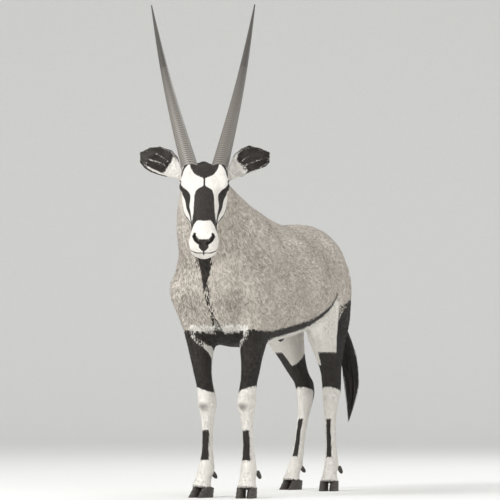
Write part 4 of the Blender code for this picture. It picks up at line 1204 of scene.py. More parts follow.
@dataclass
class Hair:
    """Tapered hairs or tufts of them, each a closed three-sided form along its own curve.

    Args:
        lines: the curves, as (hair, place, 3).
        sides: the flat way across, as (hair, place, 3).
        ups: the way out of the flat side.
        halves: half the width, as (hair, place).
        charts: two values for each root on the unrolled skin.
        thick: thickness as a share of the half width.
    """

    lines: Array
    sides: Array
    ups: Array
    halves: Array
    charts: Array
    thick: float = 0.45

    def surface(self) -> Surface:
        """Draw the hairs.

        Returns:
            Three points at each place but the last, where they meet in a tip.
        """
        count, length = self.lines.shape[:2]
        body, half = self.lines[:, :-1], self.halves[:, :-1, None]
        left, right = body - self.sides[:, :-1] * half, body + self.sides[:, :-1] * half
        top = body + self.ups[:, :-1] * half * self.thick
        rings = np.stack((left, right, top), axis=2).reshape(count, -1, 3)
        places = np.concatenate((rings, self.lines[:, -1:]), axis=1)
        each = places.shape[1]
        number = np.arange((length - 1) * 3).reshape(length - 1, 3)
        after = np.roll(number, -1, axis=1)
        quads = np.stack((number[:-1], after[:-1], after[1:], number[1:]), axis=-1).reshape(-1, 4)
        tip = np.full(3, each - 1)
        ends = np.vstack((np.stack((number[-1], after[-1], tip), axis=-1), number[0][::-1]))
        start = (np.arange(count) * each)[:, None, None]
        faces = [(quads + start).reshape(-1, 4), (ends + start).reshape(-1, 3)]
        return Surface(places.reshape(-1, 3), faces)

    def spread(self, values: Array) -> Array:
        """Repeat a value of each hair for all its points."""
        return np.repeat(values, (self.lines.shape[1] - 1) * 3 + 1)

    def map_roots(self, mesh: Mesh) -> None:
        """Lay each hair on a small patch at its root's place.

        Args:
            mesh: the mesh made from the surface.
        """
        length = self.lines.shape[1]
        along = np.repeat(np.linspace(-0.5, 0.5, length)[:-1], 3)
        across = np.tile((-0.5, 0.5, 0.0), length - 1)
        patch = np.stack((np.append(along, 0.5), np.append(across, 0.0)), axis=1) * 0.003
        spots = (self.charts[:, None] + patch[None]).reshape(-1, 2)
        corners = np.empty(len(mesh.loops), np.int32)
        mesh.loops.foreach_get("vertex_index", corners)
        layer = mesh.uv_layers.new(name="OFBake")
        layer.data.foreach_set("uv", spots[corners].astype(np.float32).ravel())


@dataclass(frozen=True)
class CoatFinish:
    """The colours of the coat.

    Args:
        name: the material's name.
        fawn: the body's colour.
        shade: its darker hairs.
        shade_and_knee_grey: painted shade in the fold behind the shoulder, at the ear roots and by the breast, and the
            grey patches on the knees.
        white: the pale marks.
        black: the dark marks.
        edge: how softly the marks end, in metres.
        ragged: how far hairs carry a mark's edge, in metres.
    """

    name: str = "short_flat_hair"
    fawn: str = "#CFC8BE"
    shade: str = "#9E958B"
    white: str = "#E8E5DF"
    black: str = "#211E1C"
    # The colour of the painted shade in folds and hollows, and of the knee patches.
    shade_and_knee_grey: str = "#6F6963"
    edge: float = 0.0016
    ragged: float = 0.008


@dataclass(frozen=True)
class PlainFinish:
    """A finish of one colour with a second in its grain.

    Args:
        name: the material's name.
        colour: the main colour.
        second: the colour in the grain.
        roughness: the shader's roughness.
        grain: size of the grain in metres.
        stretch: how the grain is drawn out along x, y and z.
        relief: depth of the grain in metres.
        polish: weight of a clear layer.
    """

    name: str
    colour: str
    second: str
    roughness: float
    grain: float
    stretch: tuple = (1.0, 1.0, 1.0)
    relief: float = 0.0002
    polish: float = 0.0


def add_node(tree: NodeTree, kind: str, inputs: dict | None = None, **settings: object) -> Node:
    """Add a node and fill its sockets.

    Args:
        tree: the material's nodes.
        kind: the node's type.
        inputs: a value or another node's socket for each socket, by name or number.
        settings: the node's own values.

    Returns:
        The node.
    """
    made = tree.nodes.new(kind)
    for name, value in settings.items():
        setattr(made, name, value)
    for name, value in (inputs or {}).items():
        if isinstance(value, NodeSocket):
            tree.links.new(value, made.inputs[name])
        else:
            made.inputs[name].default_value = value
    return made


def new_material(name: str) -> tuple[Material, NodeTree, Node]:
    """Start a material.

    Args:
        name: what it is.

    Returns:
        The material, its nodes and its shader.
    """
    made = bpy.data.materials.new(name)
    made.use_nodes = True
    return made, made.node_tree, made.node_tree.nodes["Principled BSDF"]


def plain_material(finish: PlainFinish) -> Material:
    """Make a finish of two colours mixed by a fine grain.

    Args:
        finish: its values.

    Returns:
        The material.
    """
    made, tree, shader = new_material(finish.name)
    place = add_node(tree, "ShaderNodeTexCoord")
    drawn = add_node(tree, "ShaderNodeMapping", {"Vector": place.outputs["Object"], "Scale": finish.stretch})
    grain = add_node(tree, "ShaderNodeTexNoise", {"Vector": drawn.outputs[0], "Scale": 1 / finish.grain, "Detail": 4.0})
    share = add_node(tree, "ShaderNodeMapRange", {"Value": grain.outputs[0], "From Min": 0.35, "From Max": 0.7})
    mixed = add_node(tree, "ShaderNodeMix", {"Factor": share.outputs[0], "A": linear(finish.colour),
                                             "B": linear(finish.second)}, data_type="RGBA")
    return finish_shader(made, tree, shader, mixed.outputs[2], grain.outputs[0], finish)


def finish_shader(made: Material, tree: NodeTree, shader: Node,
                  colour: NodeSocket, height: NodeSocket,
                  finish: PlainFinish) -> Material:
    """Join colour and relief to the shader.

    Args:
        made: the material.
        tree: its nodes.
        shader: its shader.
        colour: the colour's socket.
        height: the relief's socket.
        finish: the finish.

    Returns:
        The material.
    """
    relief = add_node(tree, "ShaderNodeBump", {"Height": height, "Strength": 1.0, "Distance": finish.relief})
    tree.links.new(colour, shader.inputs["Base Color"])
    tree.links.new(relief.outputs[0], shader.inputs["Normal"])
    shader.inputs["Roughness"].default_value = finish.roughness
    shader.inputs["Coat Weight"].default_value = finish.polish
    return made


def coat_material(finish: CoatFinish, tufted: bool) -> Material:
    """Make the hair's finish, whose marks come from the values stored at the points.

    Args:
        finish: its colours.
        tufted: whether it is for tufts, which have their own tone, or for the skin under them.

    Returns:
        The material.
    """
    made, tree, shader = new_material(finish.name + ("_tufts" if tufted else "_skin"))
    place = add_node(tree, "ShaderNodeTexCoord").outputs["Object"]
    stored = {name: add_node(tree, "ShaderNodeAttribute", attribute_name=name).outputs["Fac"]
              for name in ("legs", "face", "fold", "white", "black")}

    def strokes(scale: float) -> NodeSocket:
        """Draw a noise out along the hair on body, legs and face."""
        lies = []
        for stretch in ((1.0, 0.22, 0.5), (1.0, 1.0, 0.16), (1.0, 0.6, 0.25)):
            drawn = add_node(tree, "ShaderNodeMapping", {"Vector": place, "Scale": stretch})
            lies.append(add_node(tree, "ShaderNodeTexNoise", {"Vector": drawn.outputs[0], "Scale": scale, "Detail": 3.0,
                                                              "Roughness": 0.6}).outputs[0])
        lower = add_node(tree, "ShaderNodeMix", {"Factor": stored["legs"], "A": lies[0], "B": lies[1]})
        return add_node(tree, "ShaderNodeMix", {"Factor": stored["face"], "A": lower.outputs[0],
                                                "B": lies[2]}).outputs[0]

    def blend(share: NodeSocket, first: object, second: object) -> NodeSocket:
        """Mix two colours."""
        return add_node(tree, "ShaderNodeMix", {"Factor": share, "A": first, "B": second},
                        data_type="RGBA").outputs[2]

    def sum_of(kind: str, first: object, second: object) -> NodeSocket:
        """Work out one step of arithmetic."""
        return add_node(tree, "ShaderNodeMath", {0: first, 1: second}, operation=kind).outputs[0]

    fine, broad = strokes(620.0), strokes(150.0)
    clouds = add_node(tree, "ShaderNodeTexNoise", {"Vector": place, "Scale": 7.0, "Detail": 3.0}).outputs[0]
    tone = sum_of("ADD", sum_of("MULTIPLY", fine, 0.8), sum_of("ADD", broad, sum_of("MULTIPLY", clouds, 0.7)))
    if tufted:
        own = add_node(tree, "ShaderNodeAttribute", attribute_name="tone")
        tone = sum_of("ADD", tone, own.outputs["Fac"])
    share = add_node(tree, "ShaderNodeMapRange", {"Value": tone, "From Min": 0.98, "From Max": 1.62}).outputs[0]
    base = blend(share, linear(finish.fawn), linear(finish.shade))
    # Painted shade: grey mixed in by the fold value along the shoulder fold, at the ear roots and by the breast; the
    # same value gives the grey knee patches.
    base = blend(stored["fold"], base, linear(finish.shade_and_knee_grey))
    calm = sum_of("SUBTRACT", 1.0, sum_of("MULTIPLY", stored["face"], 0.85))
    off = sum_of("MULTIPLY", sum_of("SUBTRACT", broad, 0.5), finish.ragged)
    ragged = sum_of("MULTIPLY", off, calm)
    for name, colour, other in (("white", finish.white, "#DAD5CD"), ("black", finish.black, "#3B3632")):
        edge = sum_of("ADD", stored[name], ragged)
        there = add_node(tree, "ShaderNodeMapRange", {"Value": edge, "From Min": -finish.edge,
                                                      "From Max": finish.edge}, interpolation_type="SMOOTHSTEP")
        own = blend(share, linear(colour), linear(other))
        # The white marks take the same painted shade and knee grey, at 0.8 of its weight.
        if name == "white":
            own = blend(sum_of("MULTIPLY", stored["fold"], 0.8), own, linear(finish.shade_and_knee_grey))
        base = blend(there.outputs[0], base, own)
    tree.links.new(base, shader.inputs["Base Color"])
    relief = add_node(tree, "ShaderNodeBump", {"Height": fine, "Strength": 1.0, "Distance": 0.0004})
    tree.links.new(relief.outputs[0], shader.inputs["Normal"])
    shader.inputs["Roughness"].default_value = 0.65
    shader.inputs["Specular IOR Level"].default_value = 0.28
    return made


@dataclass
class Skin(Drawn):
    """One skin over the whole animal, from poll to coronets.

    Args:
        face: the details of the head.
        marks: the coat's marks.
        lie: the way of the hair.
        cell: size of the first even mesh.
        budget: triangles in the finished skin.
    """

    face: Face
    marks: Marks
    lie: Lie
    cell: float = 0.0045
    budget: int = 190_000

    def blend(self, thing: Object) -> None:
        """Soften the lines where the forms meet.

        Args:
            thing: the even mesh.
        """
        places = read(thing.data)
        wide = np.zeros(len(places))
        for x, y, z, radius in self.plan.middle_joins:
            wide = np.maximum(wide, near(places, (x, y, z), radius))
        for x, y, z, radius in self.plan.side_joins:
            for side in Side:
                wide = np.maximum(wide, near(places, (side.value * x, y, z), radius))
        self.even_out(thing, np.sqrt(wide), 160)
        small = near(self.plan.to_head(read(thing.data)), (0, 0.0, -0.06), 0.13)
        self.even_out(thing, np.sqrt(small), 10)

    def swell(self, thing: Object) -> None:
        """Raise and hollow the skin over muscle and bone.

        Args:
            thing: the blended mesh.
        """
        places, out = read(thing.data), read(thing.data, "normal")
        local = self.plan.to_head(places)
        rise = np.zeros(len(places))
        for side in Side:
            for x, y, z, reach, amount in self.plan.body_swells:
                rise += amount * near(places, (side.value * x, y, z), reach)
            for x, y, z, reach, amount in self.plan.head_swells:
                rise += amount * near(local, (side.value * x, y, z), reach) / (1 if x else 2)
        write(thing.data, places + out * rise[:, None])

    def refine(self, thing: Object, chosen: Array) -> None:
        """Halve the faces in a region.

        Args:
            thing: the mesh.
            chosen: true for the points in the region.
        """
        mesh = thing.data
        ends = np.empty(len(mesh.edges) * 2, np.int32)
        mesh.edges.foreach_get("vertices", ends)
        mesh.edges.foreach_set("select", chosen[ends.reshape(-1, 2)].all(axis=1))
        work = bmesh.new()
        work.from_mesh(mesh)
        edges = [edge for edge in work.edges if edge.select]
        bmesh.ops.subdivide_edges(work, edges=edges, cuts=1, use_grid_fill=True, smooth=0.0)
        work.to_mesh(mesh)
        work.free()

    def even_out(self, thing: Object, chosen: Array, steps: int) -> None:
        """Smooth a region a little."""
        apply(thing, "SMOOTH", factor=0.5, iterations=steps, vertex_group=weigh(thing, chosen))

    def ear(self, side: Side) -> Surface:
        """Draw a leaf-shaped cup.

        Args:
            side: which ear.

        Returns:
            Outlines along the ear: its back at half x u across and depth x bend behind, then its front,
            a skin's thickness inside, with bend the mean of a circle's and a parabola's height at u.
        """
        foot, axis, across, out = self.plan.ear_axes(side)
        t, half, depth, hollow = (column[:, None] for column in smooth_rows(self.plan.ear, 44, 1).T)
        t = np.clip(t, 0, 1)
        u = np.linspace(-1, 1, 27)[None]
        bend = np.sqrt(np.clip(1 - u * u, 0, 1)) * 0.5 + 0.5 * (1 - u * u)
        lift = self.plan.ear_lift(t)[..., None]
        thick = 0.0045
        middle = foot + axis * (self.plan.ear_stalk + self.plan.ear_length * t[..., None]) + across * lift
        back = middle + across * (half * u)[..., None] - out * (depth * bend)[..., None]
        inner = np.clip(depth - thick, 0, None) * bend * hollow
        front = (middle + across * ((half - thick * 0.5) * u)[..., None] - out * inner[..., None]
                 + out * (0.004 * (1 - hollow) + u * 0)[..., None])
        return Surface.tube(np.concatenate((back, front[:, -2:0:-1]), axis=1))

    def cutter(self, limb: Limb, side: Side, feet: "Feet") -> Surface:
        """Draw the block below a coronet.

        Args:
            limb: front or hind.
            side: left or right.
            feet: the hooves' sizes.

        Returns:
            A closed square block whose upper face is the coronet's plane.
        """
        rim, up = feet.coronet(limb, side)
        across = unit(np.cross(up, (0.0, 1.0, 0.0)))
        ahead = np.cross(up, across)
        corners = np.array([(-1, -1), (1, -1), (1, 1), (-1, 1)]) * 0.12
        square = corners[:, :1] * across + corners[:, 1:] * ahead
        return Surface.tube(np.stack((rim + square - up * 0.3, rim + square)))

    def combine(self, thing: Object, tool: Surface, operation: str) -> None:
        """Fuse or cut the skin with another closed surface.

        Args:
            thing: the skin.
            tool: the other surface.
            operation: UNION or DIFFERENCE.
        """
        other = add_piece("tool", tool.mesh("tool"))
        work = bmesh.new()
        work.from_mesh(other.data)
        bmesh.ops.recalc_face_normals(work, faces=work.faces)
        work.to_mesh(other.data)
        work.free()
        apply(thing, "BOOLEAN", operation=operation, object=other, solver="MANIFOLD")
        bpy.data.objects.remove(other)

    def build(self, feet: "Feet", finish: Material) -> Object:
        """Make the skin.

        Args:
            feet: the hooves' sizes.
            finish: its material.

        Returns:
            The finished piece.
        """
        thing = add_piece("skin", Flesh(self.plan).all().mesh("skin"))
        apply(thing, "REMESH", mode="VOXEL", voxel_size=self.cell)
        log.info("even skin: %d faces", len(thing.data.polygons))
        self.blend(thing)
        self.swell(thing)
        places = read(thing.data)
        local = self.plan.to_head(places)
        self.refine(thing, (local[:, 1] > -0.055) & (places[:, 1] < -0.76) & (local[:, 2] > -0.235))
        local = self.plan.to_head(read(thing.data))
        self.refine(thing, self.face.fine(local))
        local = self.plan.to_head(read(thing.data))
        self.even_out(thing, ramp(local[:, 1], 0.0, 0.05), 3)
        write(thing.data, self.face.press(read(thing.data), read(thing.data, "normal")))
        log.info("skin with a finer head: %d faces", len(thing.data.polygons))
        self.combine(thing, Surface.joined([self.ear(side) for side in Side]), "UNION")
        cutters = [self.cutter(limb, side, feet) for limb in Limb for side in Side]
        self.combine(thing, Surface.joined(cutters), "DIFFERENCE")
        places = read(thing.data)
        root = np.zeros(len(places))
        for side in Side:
            foot, axis, _, _ = self.plan.ear_axes(side)
            root = np.maximum(root, near(places, tuple(foot + axis * 0.034), 0.03))
        self.even_out(thing, np.sqrt(root), 10)
        self.thin(thing)
        return self.finish(thing, finish)

    def thin(self, thing: Object) -> None:
        """Use fewer, larger faces on the trunk and keep small ones on the face.

        Args:
            thing: the skin.
        """
        places = read(thing.data)
        local = self.plan.to_head(places)
        fine = self.face.fine(local)
        head = (local[:, 1] > -0.06) & (places[:, 1] < -0.74) & (local[:, 2] > -0.25)
        feet = ramp(0.62 - places[:, 2], 0.0, 0.1)
        weights = np.where(fine, 0.0, np.where(head, 0.15, 1 - 0.5 * feet))
        triangles = sum_triangles(thing.data)
        if triangles > self.budget:
            apply(thing, "DECIMATE", decimate_type="COLLAPSE", vertex_group=weigh(thing, weights),
                  vertex_group_factor=0.5, ratio=self.budget / triangles, use_collapse_triangulate=True)
        log.info("skin: %d triangles", sum_triangles(thing.data))

    def depth(self, places: Array) -> Array:
        """Tell how thick the coat is.

        Args:
            places: points in rows.

        Returns:
            Metres from the coat's face down to the skin.
        """
        head, ears, legs = self.lie.shares(places)
        thick = 0.003 - 0.0016 * legs
        thick = thick * (1 - head) + 0.0013 * head
        return thick * (1 - ears) + 0.0008 * ears

    def finish(self, thing: Object, finish: Material) -> Object:
        """Draw the skin in by the coat's depth, store its marks and place it.

        Args:
            thing: the thinned skin.
            finish: its material.

        Returns:
            The finished piece.
        """
        places, normals = read(thing.data), read(thing.data, "normal")
        drawn = places - normals * self.depth(places)[:, None]
        black, white = self.marks.read(places, normals)
        head, _, legs = self.lie.shares(places)
        # fold holds the painted shade in folds and hollows and the grey knee patches.
        fold = self.marks.shade(places)
        for name, values in (("black", black), ("white", white), ("legs", legs), ("face", head), ("fold", fold)):
            note(thing.data, name, values)
        write(thing.data, drawn + SHIFT)
        thing.data.materials.clear()
        thing.data.materials.append(finish)
        thing.data.shade_smooth()
        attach(thing, "root")
        nodes = ["torso", "neck", "head", "ear_left", "ear_right", "tail_dock"]
        nodes += [f"leg_{limb.value}_{side.name.lower()}" for limb in Limb for side in Side]
        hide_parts(*nodes)
        return thing


def sum_triangles(mesh: Mesh) -> int:
    """Count a mesh's triangles."""
    return len(mesh.loops) - 2 * len(mesh.polygons)


@dataclass
class Coat(Drawn):
    """Short tufts all over the skin.

    Args:
        marks: the coat's marks.
        lie: the way of the hair.
        count: tufts in all.
        each: most tufts in one piece.
        seed: start of the random draws.
    """

    marks: Marks
    lie: Lie
    count: int = 120_000
    each: int = 19_000
    seed: int = 7

    def roots(self, skin: Object) -> tuple[Array, Array]:
        """Scatter roots over the skin, closer where the hairs are shorter.

        Args:
            skin: the finished skin.

        Returns:
            Places and directions, in the animal's axes.
        """
        mesh = skin.data
        mesh.calc_loop_triangles()
        corners = np.empty(len(mesh.loop_triangles) * 3, np.int32)
        mesh.loop_triangles.foreach_get("vertices", corners)
        corners = corners.reshape(-1, 3)
        places, normals = read(mesh) - SHIFT, read(mesh, "normal")
        a, b, c = (places[corners[:, column]] for column in range(3))
        area = np.linalg.norm(np.cross(b - a, c - a), axis=1) / 2
        middle = (a + b + c) / 3
        head, ears, legs = self.lie.shares(middle)
        close = 1 + 3.0 * head + 2.5 * ears + 1.6 * legs
        bare = self.bare(middle)
        chance = np.cumsum(area * close * (1 - bare))
        rng = np.random.default_rng(self.seed)
        chosen = np.searchsorted(chance, rng.random(self.count) * chance[-1])
        first, second = np.sqrt(rng.random(self.count)), rng.random(self.count)
        shares = np.stack((1 - first, first * (1 - second), first * second), axis=1)[..., None]
        picked = corners[np.clip(chosen, 0, len(corners) - 1)]
        return (places[picked] * shares).sum(1), unit((normals[picked] * shares).sum(1))

    def bare(self, places: Array) -> Array:
        """Tell where no hair grows.

        Args:
            places: points in rows.

        Returns:
            1 on the nose pad, in the eye's slit and at the horns' feet, 0 elsewhere.
        """
        local = self.plan.to_head(places)
        folded = np.abs(local) * (1, 0, 0) + local * (0, 1, 1)
        x, y, z = self.plan.eye_place
        eye = np.linalg.norm((folded - (x + 0.018, y, z)) / (0.014, 0.0175, 0.0105), axis=1) < 1
        nose = (local[:, 1] > 0.358) & (local[:, 2] > -0.058) & (np.abs(local[:, 0]) < 0.02)
        pit = np.linalg.norm(folded - (0.026, 0.344, -0.03), axis=1) < 0.013
        horn = (local[:, 1] < -0.008) & (np.hypot(folded[:, 0] - self.plan.horn_foot[0],
                                                  local[:, 2] - self.plan.horn_foot[2]) < 0.036)
        return (eye | nose | pit | horn).astype(float)

    def grow(self, roots: Array, normals: Array) -> tuple[Hair, dict[str, Array]]:
        """Grow a tuft at each root.

        Args:
            roots: places in rows.
            normals: the directions the skin faces.

        Returns:
            The tufts, with the values stored at their points.
        """
        rng = np.random.default_rng(self.seed + 1)
        head, ears, legs = self.lie.shares(roots)
        flow = self.lie.flow(roots, normals)
        side = np.cross(normals, flow)
        turn = rng.normal(0, 0.2, len(roots))[:, None]
        flow = unit(flow + side * turn)
        side = unit(np.cross(normals, flow))
        length = 0.0145 - 0.0065 * legs
        length = length * (1 - head) + 0.0055 * head
        length = length * (1 - ears) + 0.008 * ears
        length = length * rng.uniform(0.75, 1.2, len(roots))
        width = 0.07 * length + 0.0003
        lift = rng.uniform(0.16, 0.3, len(roots)) * (1 - 0.25 * head)
        share = np.array((0.0, 0.5, 1.0))
        rise = (lift * length)[:, None] * np.array((-0.1, 0.62, 0.8)) - 0.0004
        lines = (roots[:, None] + flow[:, None] * (length[:, None] * share)[..., None]
                 + normals[:, None] * rise[..., None])
        halves = width[:, None] * np.array((1.0, 0.85, 0.0))
        sides = np.repeat(side[:, None], 3, axis=1)
        ups = np.repeat(normals[:, None], 3, axis=1)
        black, white = self.marks.read(roots, normals)
        hair = Hair(lines, sides, ups, halves, self.lie.chart(roots))
        # fold carries the painted shade and the grey knee patches to the tufts.
        values = {"black": black, "white": white, "legs": legs, "face": head, "fold": self.marks.shade(roots),
                  "tone": rng.normal(0, 0.09, len(roots))}
        return hair, values

    def build(self, skin: Object, finish: Material) -> list[Object]:
        """Cover the skin.

        Args:
            skin: the finished skin.
            finish: the tufts' material.

        Returns:
            The pieces, each of one stretch of the body.
        """
        roots, normals = self.roots(skin)
        order = np.argsort(self.lie.chart(roots)[:, 0] + 4 * (self.lie.shares(roots)[2] > 0.5))
        made = []
        for number, start in enumerate(range(0, len(order), self.each)):
            chosen = order[start:start + self.each]
            hair, values = self.grow(roots[chosen], normals[chosen])
            made.append(show_hair(f"coat_{number + 1}", hair, values, finish))
        return made


def show_hair(name: str, hair: Hair, values: dict[str, Array], finish: Material) -> Object:
    """Show hairs as one piece.

    Args:
        name: the piece's name.
        hair: the hairs.
        values: values stored for each hair.
        finish: their material.

    Returns:
        The piece.
    """
    thing = finished(name, hair.surface(), finish)
    hair.map_roots(thing.data)
    for key, value in values.items():
        note(thing.data, key, hair.spread(value))
    return thing


def dark(count: int, legs: float, tone: Array) -> dict[str, Array]:
    """Give the values stored for long black hairs."""
    # The long black hairs get no painted shade: fold is 0.
    rows = {"black": 0.05, "white": -0.05, "legs": legs, "face": 0.0, "fold": 0.0}
    return {name: np.full(count, value) for name, value in rows.items()} | {"tone": tone}


@dataclass
class Mane(Drawn):
    """Short upright hair from the poll to the withers.

    Args:
        lie: the way of the hair.
        count: hairs.
        length: the longest of them.
        ends: where they begin and end, back.
        seed: start of the random draws.
    """

    lie: Lie
    count: int = 6000
    length: float = 0.04
    ends: tuple = (-0.745, -0.35)
    seed: int = 21

    def build(self, finish: Material) -> Object:
        """Set the hairs along the crest.

        Args:
            finish: their material.

        Returns:
            The piece.
        """
        rng = np.random.default_rng(self.seed)
        rows = smooth_rows(self.plan.neck, 400, 2)
        rows = rows[(rows[:, 0] > self.ends[0]) & (rows[:, 0] < self.ends[1])]
        t = rng.random(self.count)
        pick = rows[(t * (len(rows) - 1)).astype(int)]
        off = rng.normal(0, 0.0055, self.count)
        roots = np.stack((pick[:, 4] + off, pick[:, 0], pick[:, 1] - 0.01 - 18 * off**2), axis=1)
        normals = unit(np.stack((off * 22, -0.25 + 0 * off, 1.0 + 0 * off), axis=1))
        length = self.length * (0.4 + 0.6 * np.sin(np.pi * np.clip(t * 0.9 + 0.06, 0, 1)))
        length = (length + 0.012) * rng.uniform(0.8, 1.08, self.count)
        lean = unit(np.stack((rng.normal(0, 0.12, self.count), 0.75 + 0 * t, -0.3 + 0 * t), axis=1))
        share = np.linspace(0, 1, 5)
        lines = (roots[:, None] + normals[:, None] * (length[:, None] * (share - 0.3 * share**2))[..., None]
                 + lean[:, None] * (length[:, None] * 0.55 * share**2)[..., None])
        side = unit(np.cross(normals, lean))
        halves = 0.0015 * (1 - share**1.5)[None] * np.ones((self.count, 1))
        hair = Hair(lines, np.repeat(side[:, None], 5, 1), np.repeat(-lean[:, None], 5, 1), halves,
                    self.lie.chart(roots))
        values = dark(self.count, 0.0, rng.normal(0, 0.1, self.count))
        return show_hair("mane", hair, values, finish)


@dataclass
class Tail(Drawn):
    """The long hair at the tail's end.

    Args:
        count: locks.
        seed: start of the random draws.
    """

    count: int = 900
    seed: int = 33

    def build(self, finish: Material) -> Object:
        """Hang the locks from the dock.

        Args:
            finish: their material.

        Returns:
            The piece.
        """
        rng = np.random.default_rng(self.seed)
        rows = smooth_rows(self.plan.tuft, 200)
        start = rng.random(self.count) ** 1.3 * 0.5
        end = np.clip(start + rng.uniform(0.3, 0.62, self.count), 0, 1)
        share = np.linspace(0, 1, 12)[None]
        along = start[:, None] + (end - start)[:, None] * share
        pick = rows[np.clip((along * 199).astype(int), 0, 199)]
        turn = rng.uniform(0, 2 * np.pi, self.count)[:, None] + 0.5 * share
        spread = rng.uniform(0.55, 0.98, self.count)[:, None] * (0.35 + 0.65 * np.sin(np.pi * (0.12 + 0.8 * share)))
        radius = pick[..., 3] * spread
        lines = pick[..., :3] + radius[..., None] * np.stack((np.cos(turn), np.sin(turn), turn * 0), axis=-1)
        sides = np.stack((-np.sin(turn), np.cos(turn), turn * 0), axis=-1)
        ups = np.stack((np.cos(turn), np.sin(turn), turn * 0), axis=-1)
        halves = 0.0022 * (1 - share**2.2) * np.ones((self.count, 1))
        charts = np.stack((0.05 + 0.9 * start, 0.05 + 0.9 * turn[:, 0] / FULL_TURN), axis=1)
        hair = Hair(lines, sides, ups, halves, charts)
        values = dark(self.count, 1.0, rng.normal(0, 0.12, self.count))
        thing = show_hair("tail_hair", hair, values, finish)
        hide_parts("tail_tuft")
        return thing


@dataclass
class Horn(Drawn):
    """A long, nearly straight horn with rings over its lower part.

    Args:
        side: which horn.
        length: from the skull to the tip.
        radius: at the foot.
        lean: how far it leans back.
        spread: how far it leans out.
        skew: how far both lean to the left.
        bow: how far its middle bends out.
        rings: how many.
        ringed: share of the length that has them.
        rise: height of the rings, as a share of the radius.
    """

    side: Side
    length: float = 0.912
    radius: float = 0.032
    lean: float = math.radians(37.0)
    spread: float = math.radians(9.8)
    skew: float = math.radians(-1.0)
    bow: float = 0.01
    rings: int = 56
    ringed: float = 0.6
    rise: float = 0.06

    def grid(self, rows: int = 560, around: int = 72) -> tuple[Array, Array]:
        """Draw the horn.

        Args:
            rows: outlines along it.
            around: points in each.

        Returns:
            Points at the axis plus radius x (1 + ring + grain), where a ring's profile is a steep rise and a slow
            fall in the place along the horn, and how high each point lies on a ring.
        """
        x, y, z = self.plan.horn_foot
        foot = self.plan.from_head((self.side.value * x, y, z))
        left = self.plan.head_axes[0] * self.side.value
        base = -self.plan.head_axes[1]
        lean = UP * math.cos(self.lean) - self.plan.forward * math.sin(self.lean)
        spread = self.spread + self.side.value * self.skew
        axis = unit(lean * math.cos(spread) + left * math.sin(spread))
        share = np.linspace(0, 1, rows) ** 0.97
        phase = self.rings * (share / self.ringed) ** (1 / 0.93)
        part = phase - np.floor(phase)
        on = share < self.ringed
        fade = 1.0 - 0.75 * np.clip(share / self.ringed, 0, 1) ** 2
        shape = np.sin(np.pi * part) ** 1.4 * np.where(on, 1, 0)
        angle = np.linspace(0, 2 * np.pi, around, endpoint=False)
        grain = 0.006 * np.sin(angle * 17 + 2.0)[None] * np.clip(1.2 - share, 0, 1)[:, None]
        grain = grain + 0.004 * np.sin(angle * 31 + 9 * share[:, None])
        front = 0.85 + 0.15 * np.sin(angle)[None]
        radius = self.radius * (1 - 0.8 * share - 0.12 * share**3)
        full = radius[:, None] * (1 + self.rise * 0.92 * fade[:, None] * shape[:, None] * front + grain
                                  - 0.018 * np.where(on, fade, 0)[:, None])
        way = base + (axis - base) * np.clip(share / 0.08, 0, 1)[:, None]
        bow = self.bow * np.sin(np.pi * share)[:, None]
        middle = foot + axis * (self.length * share)[:, None] + left * bow - self.plan.forward * bow
        across = unit(left - way * (way @ left)[:, None] / np.sum(way * way, axis=1, keepdims=True))
        over = unit(np.cross(way, across))
        tall = full * (1.08 - 0.08 * share)[:, None]
        grid = (middle[:, None] + across[:, None] * (full * np.cos(angle))[..., None]
                + over[:, None] * (tall * np.sin(angle))[..., None])
        return grid, (shape * fade)[:, None] * front

    def build(self, finish: Material) -> Object:
        """Make the horn.

        Args:
            finish: its material.

        Returns:
            The finished piece.
        """
        grid, ridge = self.grid()
        name = f"horn_{self.side.name.lower()}"
        thing = finished(f"{name}_sheath", Surface.tube(grid), finish)
        # ridge: how high each point lies on a ring, which sets the horn's painted highlight.
        note(thing.data, "ridge", np.append(ridge.ravel(), (0.0, 0.0)))
        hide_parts(name)
        return thing


@dataclass
class Eye(Drawn):
    """A dark ball with a level pupil.

    Args:
        side: which eye.
    """

    side: Side

    def build(self, finish: Material) -> Object:
        """Make the ball.

        Args:
            finish: its material.

        Returns:
            The finished piece.
        """
        polar = np.linspace(0.02, np.pi - 0.02, 48)[:, None]
        turn = np.linspace(0, 2 * np.pi, 72, endpoint=False)[None]
        cornea = 0.0007 * np.exp(-((polar / 0.62) ** 4))
        reach = self.plan.eye_radius - 0.0002 + cornea
        local = np.stack((self.side.value * reach * np.cos(polar) + 0 * turn, reach * np.sin(polar) * np.cos(turn),
                          reach * np.sin(polar) * np.sin(turn)), axis=-1)
        x, y, z = self.plan.eye_place
        centre = np.array((self.side.value * x, y, z))
        name = f"eye_{self.side.name.lower()}"
        thing = finished(f"{name}_ball", Surface.tube(self.plan.from_head(local + centre)), finish)
        cos, sin = math.cos(self.plan.eye_tilt), math.sin(self.plan.eye_tilt)
        along = (local[..., 1] * cos + local[..., 2] * sin).ravel()
        up = (local[..., 2] * cos - local[..., 1] * sin).ravel()
        facing = (local[..., 0] * self.side.value).ravel() > 0
        iris = np.where(facing, np.hypot(along, up), 0.03)
        pupil = np.where(facing, np.hypot(along / 0.0078, up / 0.0036), 9.0)
        note(thing.data, "iris", np.append(iris, (0.0, 0.03)))
        note(thing.data, "pupil", np.append(pupil, (0.0, 9.0)))
        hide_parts(name)
        return thing


